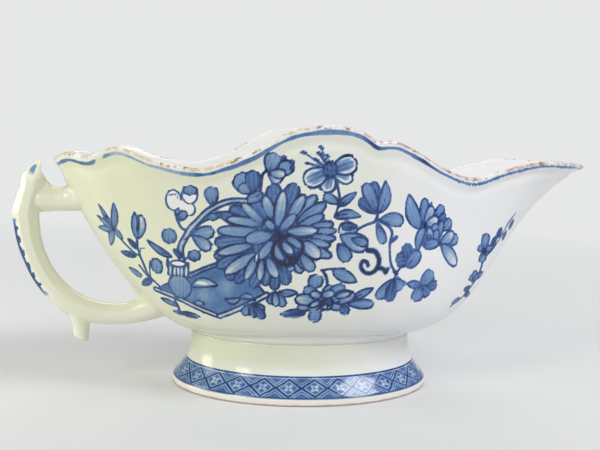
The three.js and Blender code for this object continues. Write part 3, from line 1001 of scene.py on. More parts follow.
        p.stroke([(25.4, 47.0), (24.2, 45.0)], 0.9)
        p.fan((24.4, 45.2), Form.LOBE, VEINED, (18.9, 38.2, 3.8), (27.6, 41.2, 4.2))
        p.lobe(DARK, (24.4, 45.2, 23.1, 37.3, 4.0))
        centre = (35.2, 42.2)
        p.leaf(VEINED, (*centre, 29.8, 43.4, 2.6))
        p.fan(centre, Form.LOBE, DARK, (41.9, 41.8, 3.8), (38.9, 38.7, 4.0))
        p.fan(centre, Form.LOBE, VEINED, (39.6, 46.9, 5.0), (33.6, 37.0, 4.8))

    def prow_sprig(self) -> None:
        """A sprig that climbs under the spout."""
        p = self.painter
        p.stroke([(50.6, 32.6), (55.6, 35.2), (59.6, 39.4), (62.4, 44.0), (63.6, 49.6)], 0.9, 0.9)
        p.stroke([(64.0, 50.6), (67.6, 54.0), (70.4, 58.6), (73.0, 63.0), (76.0, 67.0)], 0.8, 0.8)
        p.leaf(DARK, (59.0, 39.0, 56.2, 38.6, 2.0), (60.8, 41.4, 59.6, 44.0, 2.4))
        p.leaf(VEINED, (61.6, 42.6, 64.4, 44.6, 2.2))
        p.leaf(DARK, (55.0, 34.8, 51.0, 34.0, 2.0), (57.4, 36.8, 60.0, 35.6, 2.0))
        p.fan((59.9, 42.0), Form.LOBE, PETAL, (58.2, 43.6, 2.0), (60.6, 45.4, 2.2), (62.4, 43.6, 2.0))
        heart = (63.4, 53.0)
        p.fan(heart, Form.LOBE, PETAL, (61.0, 54.8, 2.4), (66.6, 54.4, 2.4))
        p.fan(heart, Form.LOBE, VEINED, (63.6, 59.6, 3.4), (63.3, 49.0, 3.2))
        p.disc(heart, 1.3)
        for x, z in ((68.0, 58.4), (70.2, 61.6), (73.0, 60.6), (75.6, 64.4)):
            p.leaf(DARK, (x - 1.0, z - 3.6, x, z, 2.0))


@dataclass
class Bowl:
    """The spouted bowl: its shell, the painting on both sides and the fields that its glaze reads."""

    shell: BowlShell
    seed: int = 11
    lip_depths: tuple[float, float] = (0.4, 3.0)
    inside_depth: float = -30.0

    def build(self) -> bpy.types.Object:
        """Builds, paints and dresses the bowl.

        Returns:
            The bowl's object.
        """
        piece = self.shell.build()
        points = self.shell.outer.reshape(-1, 3)
        normals = self.normals(self.shell.outer).reshape(-1, 3)
        ink = np.full(len(points), Painter.bare)
        wash = np.zeros(len(points))
        for side in (-1, 1):
            painter = Painter(points, normals, side, self.seed + side)
            FlowerPainting(painter).paint()
            ink = np.maximum(ink, painter.ink)
            wash = np.where(np.abs(painter.wash) > np.abs(wash), painter.wash, wash)
        store(piece, "ink", ink, Painter.bare)
        store(piece, "wash", wash)
        store(piece, "rim_depth", self._rim_depth(), self.inside_depth)
        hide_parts("bowl")
        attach(piece, BODY)
        piece.data.materials.append(BowlGlaze().material())
        log.info("bowl: %d vertices, %d of them blue", len(piece.data.vertices), (wash > 0.05).sum())
        return piece

    @staticmethod
    def normals(grid: np.ndarray) -> np.ndarray:
        """Finds the outward normals of a grid.

        Args:
            grid: rows of points, from below upwards, that close on themselves.

        Returns:
            A normal for each point.
        """
        along = np.roll(grid, -1, axis=1) - np.roll(grid, 1, axis=1)
        up = np.gradient(grid, axis=0)
        return unit(np.cross(along, up))

    def _rim_depth(self) -> np.ndarray:
        """Measures how far each point lies below the crest along the wall.

        Returns:
            The depths in millimetres: outside above 0, over the lip below 0.
        """
        steps = np.linalg.norm(np.diff(self.shell.outer, axis=0), axis=2)
        down = np.concatenate([np.cumsum(steps[::-1], axis=0)[::-1], np.zeros((1, steps.shape[1]))])
        over = -np.linspace(*self.lip_depths, self.shell.lip_steps - 1)
        return np.concatenate([down.reshape(-1), over.repeat(steps.shape[1])])


@dataclass
class Foot:
    """The hollow oval foot, drawn up ring by ring from the strip that it stands on to the bowl's seat.

    Its own measures come from the CAD's foot; the fields are the insets and heights of its profile.
    """

    around: int = 288
    strip_height: float = 2.7 * MM
    band_height: float = 6.6 * MM
    band_inset: float = 5.2 * MM
    neck_inset: float = 6.8 * MM
    wall: float = 4.2 * MM
    edge: float = 0.5 * MM
    edge_steps: int = 4
    groove: float = 0.35 * MM
    band_steps: int = 8
    band_sag: float = 0.32 * MM
    cove_steps: int = 12
    cove_bend: float = 2.6
    vault: float = 0.7
    vault_steps: int = 6
    vault_bend: float = 1.4
    inside_band: float = -2.0

    def build(self) -> bpy.types.Object:
        """Builds and dresses the foot.

        Returns:
            The foot's object.
        """
        low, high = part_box("foot")
        self.centre = Vector(((low.x + high.x) / 2, 0.0, 0.0))
        self.height = high.z
        self.half_length = (high.x - low.x) / 2
        self.half_width = (high.y - low.y) / 2
        profile = self._outside() + self._inside()
        deselect_all()
        bpy.ops.mesh.primitive_circle_add(vertices=self.around, radius=1.0, location=self.centre)
        piece = bpy.context.object
        piece.name = "foot_glazed"
        bpy.ops.object.mode_set(mode="EDIT")
        bpy.ops.mesh.select_all(action="SELECT")
        size = self._radii(profile[0][0])
        bpy.ops.transform.resize(value=(size[0], size[1], 1.0), center_override=self.centre)
        bpy.ops.transform.translate(value=(0.0, 0.0, profile[0][1]))
        for (inset, height), (next_inset, next_height) in zip(profile, profile[1:]):
            now, then = self._radii(inset), self._radii(next_inset)
            bpy.ops.mesh.extrude_edges_move()
            scale = (then[0] / now[0], then[1] / now[1], 1.0)
            bpy.ops.transform.resize(value=scale, center_override=self.centre)
            bpy.ops.transform.translate(value=(0.0, 0.0, next_height - height))
        bpy.ops.mesh.select_all(action="DESELECT")
        bpy.ops.mesh.select_non_manifold()
        bpy.ops.mesh.bridge_edge_loops()
        bpy.ops.mesh.select_all(action="SELECT")
        bpy.ops.mesh.normals_make_consistent(inside=False)
        bpy.ops.object.mode_set(mode="OBJECT")
        bpy.ops.object.transform_apply(location=True, rotation=True, scale=True)
        bpy.ops.object.shade_smooth()
        self._measure(piece)
        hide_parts("foot")
        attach(piece, BODY)
        piece.data.materials.append(FootGlaze().material())
        log.info("foot: %d vertices, %.1f mm high", len(piece.data.vertices), self.height / MM)
        deselect_all()
        return piece

    def _radii(self, inset: float) -> tuple[float, float]:
        """The half length and half width of a ring that lies an inset inside the foot's outline."""
        return self.half_length - inset, self.half_width - inset

    def _outside(self) -> list[tuple[float, float]]:
        """The outer profile, from the contact edge to the seat.

        Returns:
            Its insets and heights.
        """
        strip, band_top = self.strip_height, self.strip_height + self.band_height
        cove = self.height - band_top
        profile = [(self.edge * 1.3, 0.0)]
        for step in range(1, self.edge_steps + 1):
            angle = math.pi / 2 * step / self.edge_steps
            profile.append((self.edge * (1 - math.sin(angle)), self.edge * (1 - math.cos(angle))))
        profile += [(0.0, strip * 0.6), (0.02 * MM, strip * 0.86), (self.groove, strip + 0.1 * MM)]
        for step in range(1, self.band_steps + 1):
            share = step / self.band_steps
            sag = self.band_sag * math.sin(math.pi * share)
            profile.append((self.band_inset * share + sag, strip + self.band_height * share))
        for step in range(1, self.cove_steps + 1):
            share = step / self.cove_steps
            inwards = (self.neck_inset - self.band_inset) * (1 - (1 - share) ** self.cove_bend)
            profile.append((self.band_inset + inwards, band_top + cove * share))
        return profile

    def _inside(self) -> list[tuple[float, float]]:
        """The inner profile, from the seat down to the contact edge.

        Returns:
            Its insets and heights.
        """
        top = self.neck_inset + self.wall
        vault = self.height * self.vault
        profile = [(top, self.height), (top, vault)]
        for step in range(1, self.vault_steps + 1):
            share = step / self.vault_steps
            inwards = top + (self.wall - top) * share**self.vault_bend
            profile.append((inwards, vault + (self.edge - vault) * share))
        profile.append((self.wall - self.edge, 0.0))
        return profile

    def _measure(self, piece: bpy.types.Object) -> None:
        """Stores how far round the foot each vertex lies, and its place on the band from 0 up to 1.

        Args:
            piece: the foot.
        """
        points = points_of(piece) - np.array(self.centre)
        turn = np.arctan2(points[:, 1] / self.half_width, points[:, 0] / self.half_length)
        angles = np.linspace(-math.pi, math.pi, 721)
        outline = np.stack([np.cos(angles) * self.half_length, np.sin(angles) * self.half_width], axis=1)
        steps = np.linalg.norm(np.diff(outline, axis=0), axis=1)
        arc = np.concatenate([[0.0], np.cumsum(steps)])
        share = np.interp(turn, angles, arc / arc[-1])
        insets, heights = np.array(self._outside()).T
        band = (points[:, 2] - self.strip_height) / self.band_height
        inset = 1.0 - np.hypot(points[:, 0] / self.half_length, points[:, 1] / self.half_width)
        inner = inset * self.half_width > np.interp(points[:, 2], heights, insets) + self.wall * 0.4
        band = np.where(inner, self.inside_band, band)
        store(piece, "foot_turn", np.abs(share - 0.5) * 2.0)
        store(piece, "foot_band", band)


@dataclass(frozen=True)
class Station:
    """One place on a branch of the handle, in millimetres: x, height and half the thickness."""

    x: float
    z: float
    radius: float


def stations(*rows: tuple[float, float, float]) -> tuple[Station, ...]:
    """The stations of one branch, from rows of numbers."""
    return tuple(Station(*row) for row in rows)


@dataclass
class Handle:
    """The branch handle as one luted piece: the stem with its thumb rest, the arm, the spur and a web."""

    shell: BowlShell
    voxel: float = 0.42 * MM
    wide: float = 1.14
    sides: int = 24
    sink: float = 1.4
    smoothing: int = 12
    core_rise: float = 20.0
    facet_depth: float = 0.9
    spur_slant: float = 0.45
    stem_reach: float = 6.4
    far_off: float = 9.0
    facets: tuple[float, ...] = (0.68, 0.0, -0.68)
    pared_from: tuple[float, float] = (3.0, 7.0)
    pared_fade: float = 8.0
    pared_reach: float = 1.5
    stem_pared: float = 56.0
    arm_pared: float = 13.0
    spur_cut: tuple[float, float] = (3.6, 0.6)
    spur_half: float = 6.0
    stem: tuple[Station, ...] = stations(
        (-100.1, 82.1, 0.9), (-101.9, 79.0, 2.4), (-102.9, 76.2, 3.8), (-103.3, 72.0, 4.2),
        (-104.4, 67.6, 4.5), (-105.2, 63.4, 5.0), (-104.8, 59.0, 4.7), (-103.9, 53.0, 4.5),
        (-101.8, 46.4, 4.3), (-98.4, 39.6, 4.3), (-93.6, 33.6, 4.4), (-87.6, 28.8, 4.5),
        (-81.0, 26.2, 4.4), (-74.0, 25.3, 4.1), (-67.6, 25.6, 4.1), (-61.6, 27.2, 4.8),
        (-55.5, 30.5, 6.4), (-49.0, 35.0, 8.0),
    )
    arm: tuple[Station, ...] = stations(
        (-104.4, 67.8, 4.7), (-98.5, 68.2, 5.0), (-94.5, 68.1, 4.5),
        (-91.0, 68.2, 4.6), (-88.0, 68.9, 5.4), (-84.4, 70.6, 7.8),
    )
    fork: tuple[Station, ...] = stations(
        (-101.4, 76.6, 2.4), (-99.4, 73.4, 2.5), (-96.6, 70.8, 2.5), (-93.0, 69.6, 2.2)
    )
    spur: tuple[Station, ...] = stations(
        (-86.0, 27.0, 4.2), (-85.2, 21.4, 3.15), (-85.05, 17.8, 3.0), (-85.0, 15.9, 2.9)
    )
    web: tuple[Station, ...] = stations(
        (-61.8, 31.0, 2.2), (-63.3, 32.5, 1.9), (-64.9, 34.2, 1.45), (-66.4, 36.0, 0.8)
    )

    def build(self) -> bpy.types.Object:
        """Builds and dresses the handle.

        Returns:
            The handle's object.
        """
        branches = (self.stem, self.arm, self.fork, self.spur, self.web)
        make_active(*(self._branch(branch) for branch in branches))
        bpy.ops.object.join()
        piece = bpy.context.object
        piece.name = "handle_glazed"
        self._modify(piece, "one_body", "REMESH", mode="VOXEL", voxel_size=self.voxel)
        self._modify(piece, "soft_clay", "SMOOTH", factor=0.5, iterations=self.smoothing)
        self._cut_facets(piece)
        core = self.shell.core(self.sink, self.core_rise)
        self._modify(piece, "luted_ends", "BOOLEAN", operation="DIFFERENCE", solver="EXACT", object=core)
        bpy.data.objects.remove(core, do_unlink=True)
        self._modify(piece, "no_slivers", "TRIANGULATE", quad_method="BEAUTY", ngon_method="BEAUTY")
        bpy.ops.object.transform_apply(location=True, rotation=True, scale=True)
        bpy.ops.object.shade_smooth()
        self._measure(piece)
        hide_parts("handle_strap", "thumb_rest", "handle_arm", "handle_spur")
        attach(piece, BODY)
        piece.data.materials.clear()
        piece.data.materials.append(HandleGlaze().material())
        log.info("handle: %d vertices", len(piece.data.vertices))
        deselect_all()
        return piece

    @staticmethod
    def _modify(piece: bpy.types.Object, name: str, kind: str, **settings: object) -> None:
        """Puts a modifier on the active piece and applies it.

        Args:
            piece: the piece.
            name: the modifier's name.
            kind: its type.
            settings: its own settings.
        """
        modifier = piece.modifiers.new(name, kind)
        for key, value in settings.items():
            setattr(modifier, key, value)
        bpy.ops.object.modifier_apply(modifier=modifier.name)

    def _branch(self, route: tuple[Station, ...]) -> bpy.types.Object:
        """Sweeps a round section along one branch and widens it across the boat.

        Args:
            route: the branch's stations.

        Returns:
            The branch as a mesh.
        """
        deselect_all()
        bpy.ops.curve.primitive_bezier_curve_add()
        branch = bpy.context.object
        curve = branch.data
        curve.dimensions = "3D"
        curve.twist_mode = "MINIMUM"
        curve.resolution_u = 12
        curve.bevel_depth = 1.0
        curve.bevel_resolution = self.sides // 4
        curve.use_fill_caps = True
        spline = curve.splines[0]
        spline.bezier_points.add(len(route) - len(spline.bezier_points))
        for knot, station in zip(spline.bezier_points, route):
            knot.handle_left_type = knot.handle_right_type = "AUTO"
            knot.co = Vector((station.x * MM, 0.0, station.z * MM))
            knot.radius = station.radius * MM
        branch.scale = (1.0, self.wide, 1.0)
        make_active(branch)
        bpy.ops.object.convert(target="MESH")
        bpy.ops.object.transform_apply(location=True, rotation=True, scale=True)
        return bpy.context.object

    @staticmethod
    def _follow(points: np.ndarray, route: tuple[Station, ...]) -> tuple[np.ndarray, ...]:
        """Follows a branch past some points.

        Args:
            points: the points in millimetres.
            route: the branch's stations.

        Returns:
            For each point the nearest place on the branch, how far along it that lies, the branch's half
            thickness there and the direction from it to the outside of the bend.
        """
        knots = np.array([(station.x, 0.0, station.z, station.radius) for station in route])
        line = CurveWeights.row(np.linspace(0, len(knots) - 1, 160), len(knots), closed=False) @ knots
        arc = np.concatenate([[0.0], np.cumsum(np.linalg.norm(np.diff(line[:, :3], axis=0), axis=1))])
        ahead = unit(np.gradient(line[:, :3], axis=0))
        near = ((points[:, None, :] - line[None, :, :3]) ** 2).sum(axis=2).argmin(axis=1)
        outward = np.stack([ahead[near, 2], np.zeros(len(near)), -ahead[near, 0]], axis=1)
        return line[near, :3], arc[near], line[near, 3], outward

    def _cut_facets(self, piece: bpy.types.Object) -> None:
        """Pares the stem and the arm flat along their sides and the spur's end at a slant.

        Args:
            piece: the handle.
        """
        points = points_of(piece) / MM
        for route, last in ((self.stem, self.stem_pared), (self.arm, self.arm_pared)):
            centre, along, radius, outward = self._follow(points, route)
            own = np.linalg.norm(points - centre, axis=1) < radius * self.pared_reach
            faded = smoothstep(last, last - self.pared_fade, along) * smoothstep(*self.pared_from, along)
            share = own * faded
            for side in (-1.0, 1.0):
                for out in self.facets:
                    across = side * math.sqrt(1.0 - out * out)
                    facing = outward * out + np.array([0.0, across, 0.0])
                    reach = radius * math.hypot(out, self.wide * across) * self.facet_depth
                    over = ((points - centre) * facing).sum(axis=1) - reach
                    points = points - facing * (np.maximum(over, 0.0) * share)[:, None]
        tip = self.spur[-1]
        aside = tip.x - points[:, 0]
        high, low = (tip.z + height for height in self.spur_cut)
        end = smoothstep(high, low, points[:, 2]) * (np.abs(aside) < self.spur_half)
        points[:, 2] = points[:, 2] + aside * self.spur_slant * end
        piece.data.vertices.foreach_set("co", (points * MM).astype(np.float32).reshape(-1))
        piece.data.update()

    def _measure(self, piece: bpy.types.Object) -> None:
        """Stores how far along the stem each vertex lies, how much it faces the outside of the bend and how
        far it is from the middle of that side, all in millimetres but the second.

        Args:
            piece: the handle.
        """
        points = points_of(piece) / MM
        normals = np.array([vertex.normal for vertex in piece.data.vertices])
        centre, along, _, outward = self._follow(points, self.stem)
        off_stem = np.linalg.norm(points - centre, axis=1)
        outer = ((points - centre) * outward).sum(axis=1) > 0.0
        near = np.where(outer & (off_stem < self.stem_reach), np.abs(points[:, 1]), self.far_off)
        store(piece, "along_stem", along)
        store(piece, "on_back", (normals * outward).sum(axis=1) - np.maximum(off_stem - self.stem_reach, 0.0))
        store(piece, "off_middle", near)


@dataclass(frozen=True)
class Tint:
    """A colour as it looks on a screen, from 0 to 1."""

    red: float
    green: float
    blue: float

    def linear(self) -> tuple[float, float, float, float]:
        """The colour in scene values."""
        parts = (self.red, self.green, self.blue)
        return tuple(c / 12.92 if c <= 0.04045 else ((c + 0.055) / 1.055) ** 2.4 for c in parts) + (1.0,)


class Value:
    """A number that changes over a surface: arithmetic on it adds math nodes to its tree."""

    def __init__(self, nodes: "Nodes", socket: bpy.types.NodeSocket) -> None:
        """Takes the hand for the tree and the socket that gives the number."""
        self.nodes = nodes
        self.socket = socket

    def __add__(self, other: "Socket") -> "Value":
        """The sum."""
        return self.nodes.math("ADD", self, other)

    def __sub__(self, other: "Socket") -> "Value":
        """The difference."""
        return self.nodes.math("SUBTRACT", self, other)

    def __rsub__(self, other: float) -> "Value":
        """A plain number less this one."""
        return self.nodes.math("SUBTRACT", other, self)

    def __mul__(self, other: "Socket") -> "Value":
        """The product."""
        return self.nodes.math("MULTIPLY", self, other)

    def __truediv__(self, other: float) -> "Value":
        """The quotient."""
        return self.nodes.math("DIVIDE", self, other)

    def __abs__(self) -> "Value":
        """The size without its sign."""
        return self.nodes.math("ABSOLUTE", self)


Socket = bpy.types.NodeSocket | Value | Tint | float


class Nodes:
    """A hand for one node tree: it adds nodes, sets their inputs and joins them. Sizes are in metres."""

    def __init__(self, tree: bpy.types.NodeTree) -> None:
        """Takes the tree to work on."""
        self.tree = tree

    def add(
        self, kind: str, inputs: dict[str | int, Socket] | None = None, **settings: object
    ) -> bpy.types.Node:
        """Adds a node.

        Args:
            kind: the node's type name.
            inputs: values or sockets by input name or number.
            settings: the node's own settings.

        Returns:
            The node.
        """
        node = self.tree.nodes.new(kind)
        for name, value in settings.items():
            setattr(node, name, value)
        for key, value in (inputs or {}).items():
            self.put(node.inputs[key], value)
        return node

    def put(self, target: bpy.types.NodeSocket, value: Socket) -> None:
        """Joins a socket to an input, or sets the input's own value.

        Args:
            target: the input.
            value: what goes in.
        """
        if isinstance(value, Value):
            value = value.socket
        if isinstance(value, bpy.types.NodeSocket):
            self.tree.links.new(value, target)
        else:
            target.default_value = value.linear() if isinstance(value, Tint) else value

    def math(self, operation: str, *values: Socket) -> Value:
        """One arithmetic step on single values."""
        node = self.add("ShaderNodeMath", dict(enumerate(values)), operation=operation)
        return Value(self, node.outputs[0])

    def step(self, value: Socket, low: float, high: float) -> Value:
        """A soft step up from 0 to 1, or down from 1 where high is the lower one.

        Args:
            value: the value that is read.
            low: where it begins to rise.
            high: where it reaches 1.

        Returns:
            The step.
        """
        down = high < low
        inputs = {0: value, 1: min(low, high), 2: max(low, high), 3: float(down), 4: float(not down)}
        return Value(self, self.add("ShaderNodeMapRange", inputs, interpolation_type="SMOOTHSTEP").outputs[0])

    def within(self, value: Socket, rise: tuple[float, float], fall: tuple[float, float]) -> Value:
        """A soft window on a value, which opens over the rise and closes over the fall."""
        return self.step(value, *rise) * self.step(value, fall[1], fall[0])

    def scale(self, value: Value, low: float, high: float) -> Value:
        """Stretches a value that runs from 0 to 1 so that it runs from low to high."""
        return self.math("MULTIPLY_ADD", value, high - low, low)

    def noise(self, size: float, detail: float = 2.0, low: float = 0.0, high: float = 1.0) -> Value:
        """Cloudy noise.

        Args:
            size: about how large its patches are in metres.
            detail: how fine it is.
            low: its lowest value.
            high: its highest value.

        Returns:
            The noise.
        """
        inputs = {"Vector": self.here, "Scale": 1.0 / size, "Detail": detail, "Roughness": 0.55}
        cloud = Value(self, self.add("ShaderNodeTexNoise", inputs).outputs[0])
        return cloud if (low, high) == (0.0, 1.0) else self.scale(cloud, low, high)

    @cached_property
    def here(self) -> bpy.types.NodeSocket:
        """The object's own coordinates."""
        return self.add("ShaderNodeTexCoord").outputs["Object"]

    def axis(self, name: str) -> Value:
        """One of the object's own coordinates, in metres."""
        return Value(self, self.add("ShaderNodeSeparateXYZ", {0: self.here}).outputs[name])

    def value_of(self, attribute: str) -> Value:
        """A value that the mesh holds for each vertex."""
        return Value(self, self.add("ShaderNodeAttribute", attribute_name=attribute).outputs["Fac"])

    def mix(self, share: Socket, first: Socket, second: Socket, blend: str = "MIX") -> bpy.types.NodeSocket:
        """Mixes two colours."""
        inputs = {0: share, 6: first, 7: second}
        return self.add("ShaderNodeMix", data_type="RGBA", blend_type=blend, inputs=inputs).outputs[2]

    def largest(self, *values: Value) -> Value:
        """The largest of several values.

        Args:
            values: the values.

        Returns:
            The largest at each place.
        """
        most = values[0]
        for value in values[1:]:
            most = self.math("MAXIMUM", most, value)
        return most

    def ring(self, value: Value, place: float, half: float) -> Value:
        """A soft line where a value passes a place, half as wide as given on each side."""
        return self.step(abs(value - place), half * 1.5, half * 0.5)


def group_tree(name: str, inputs: dict[str, str], outputs: dict[str, str]) -> bpy.types.NodeTree:
    """Makes an empty shader node group with its sockets.

    Args:
        name: the group's name.
        inputs: socket types by input name.
        outputs: socket types by output name.

    Returns:
        The group's node tree.
    """
    tree = bpy.data.node_groups.new(name, "ShaderNodeTree")
    for sockets, side in ((inputs, "INPUT"), (outputs, "OUTPUT")):
        for socket, kind in sockets.items():
            tree.interface.new_socket(socket, in_out=side, socket_type=kind)
    return tree


@dataclass(frozen=True)
class BareGlaze:
    """The clear glaze over the body: yellow-green towards the handle and a cooler white to the spout, a drift
    that is partly the glaze's own tint and partly painted light from the warm lamp at the left and the cooler
    light at the right.
    """

    name: str = "bare_glaze"
    handle_cream_and_warm_light: Tint = Tint(0.895, 0.9, 0.775)
    pale: Tint = Tint(0.89, 0.895, 0.86)
    spout_white_and_cool_light: Tint = Tint(0.925, 0.925, 0.93)
    speck: Tint = Tint(0.34, 0.26, 0.17)
    from_x: float = -0.08
    turn_x: float = 0.0
    to_x: float = 0.04
    cells_per_metre: float = 150.0
    speck_rarity: float = 0.955
    ripple: float = 0.16
    peel: float = 0.006
    pit: float = -0.03

    def group(self) -> bpy.types.NodeTree:
        """The group that gives the glaze's colour, roughness and the height of its ripples.

        Returns:
            The group's tree, which is built once.
        """
        if self.name in bpy.data.node_groups:
            return bpy.data.node_groups[self.name]
        kinds = {"Color": "NodeSocketColor", "Roughness": "NodeSocketFloat", "Height": "NodeSocketFloat"}
        tree = group_tree(self.name, {}, kinds)
        n = Nodes(tree)
        end = n.add("NodeGroupOutput")
        # Painted light: the colour drift along x stands partly for the warm lamp at the handle end and the
        # cooler light at the spout end, besides the glaze's own tint.
        place = n.axis("X") + n.noise(0.05, 3.0, -0.025, 0.025)
        colour = n.mix(n.step(place, self.from_x, self.turn_x), self.handle_cream_and_warm_light, self.pale)
        colour = n.mix(n.step(place, self.turn_x, self.to_x), colour, self.spout_white_and_cool_light)
        cloud = n.noise(0.012, 4.0, 0.955, 1.03)
        grey = n.add("ShaderNodeCombineColor", {0: cloud, 1: cloud, 2: cloud}).outputs[0]
        colour = n.mix(1.0, colour, grey, "MULTIPLY")
        cells = n.add("ShaderNodeTexVoronoi", {"Vector": n.here, "Scale": self.cells_per_metre})
        lot = n.add("ShaderNodeSeparateColor", {0: cells.outputs["Color"]}).outputs[0]
        chosen = n.step(lot, self.speck_rarity, self.speck_rarity + 0.01)
        spot = n.step(cells.outputs["Distance"], 0.045, 0.015) * chosen
        n.put(end.inputs["Color"], n.mix(spot * 0.75, colour, self.speck))
        n.put(end.inputs["Roughness"], n.noise(0.02, 3.0, 0.06, 0.15))
        waves = n.noise(0.016, 1.0) * self.ripple + n.noise(0.0011, 2.0) * self.peel
        n.put(end.inputs["Height"], waves + spot * self.pit)
        return tree


@dataclass(frozen=True)
class Cobalt:
    """Underglaze blue, from a bare glaze through pale wash to a dark line."""

    name: str = "cobalt"
    film: Tint = Tint(0.71, 0.78, 0.87)
    wash: Tint = Tint(0.485, 0.62, 0.8)
    full: Tint = Tint(0.31, 0.465, 0.71)
    line: Tint = Tint(0.17, 0.27, 0.51)
    pool: Tint = Tint(0.09, 0.13, 0.29)
    bare_share: float = 0.6

    def group(self) -> bpy.types.NodeTree:
        """The group that lays blue of a given density over a glaze colour.

        Returns:
            The group's tree, which is built once.
        """
        if self.name in bpy.data.node_groups:
            return bpy.data.node_groups[self.name]
        inputs = {"Glaze": "NodeSocketColor", "Density": "NodeSocketFloat"}
        tree = group_tree(self.name, inputs, {"Color": "NodeSocketColor"})
        n = Nodes(tree)
        start, end = n.add("NodeGroupInput"), n.add("NodeGroupOutput")
        glaze, density = start.outputs["Glaze"], Value(n, start.outputs["Density"])
        uneven = n.noise(0.0009, 3.0, -0.12, 0.12) + n.noise(0.004, 2.0, -0.14, 0.14)
        density = density + uneven * n.step(density, 0.02, 0.4)
        ramp = n.add("ShaderNodeValToRGB", {0: density})
        stops = ((0.1, self.film), (0.36, self.wash), (0.62, self.full), (0.84, self.line), (1.0, self.pool))
        while len(ramp.color_ramp.elements) < len(stops):
            ramp.color_ramp.elements.new(0.5)
        for element, (place, tint) in zip(ramp.color_ramp.elements, stops):
            element.position = place
            element.color = tint.linear()
        sunk = n.mix(1.0, ramp.outputs[0], glaze, "MULTIPLY")
        tinted = n.mix(self.bare_share, ramp.outputs[0], sunk)
        n.put(end.inputs["Color"], n.mix(n.step(density, 0.03, 0.32), glaze, tinted))
        return tree


@dataclass
class Surface:
    """What a glaze looks like before its shader: its colour, its roughness and its height."""

    colour: bpy.types.NodeSocket
    roughness: Value
    height: Value


@dataclass(frozen=True)
class Glazed:
    """What all three glazed materials share: the body, the clear glaze and its gloss."""

    name: str = "glazed"
    ior: float = 1.5
    depth: float = 0.0004

    def material(self) -> bpy.types.Material:
        """Builds the material.

        Returns:
            The material, ready to go on its piece.
        """
        material = bpy.data.materials.new(self.name)
        material.use_nodes = True
        material.node_tree.nodes.clear()
        n = Nodes(material.node_tree)
        bare = n.add("ShaderNodeGroup", node_tree=BareGlaze().group()).outputs
        top = Surface(bare["Color"], Value(n, bare["Roughness"]), Value(n, bare["Height"]))
        self.paint(n, top)
        shader = n.add("ShaderNodeBsdfPrincipled", {"Base Color": top.colour, "Roughness": top.roughness})
        shader.inputs["IOR"].default_value = self.ior
        shader.inputs["Metallic"].default_value = 0.0
        bump = n.add("ShaderNodeBump", {"Height": top.height})
        bump.inputs["Distance"].default_value = self.depth
        bump.inputs["Strength"].default_value = 1.0
        n.put(shader.inputs["Normal"], bump.outputs[0])
        n.add("ShaderNodeOutputMaterial", {"Surface": shader.outputs[0]})
        return material

    def paint(self, n: Nodes, top: Surface) -> None:
        """Adds what is painted or worn on the piece to the bare glaze."""
        raise NotImplementedError

    @staticmethod
    def blue(n: Nodes, colour: Socket, density: Value) -> bpy.types.NodeSocket:
        """Lays blue of the given density over a colour."""
        inputs = {"Glaze": colour, "Density": density}
        return n.add("ShaderNodeGroup", node_tree=Cobalt().group(), inputs=inputs).outputs[0]


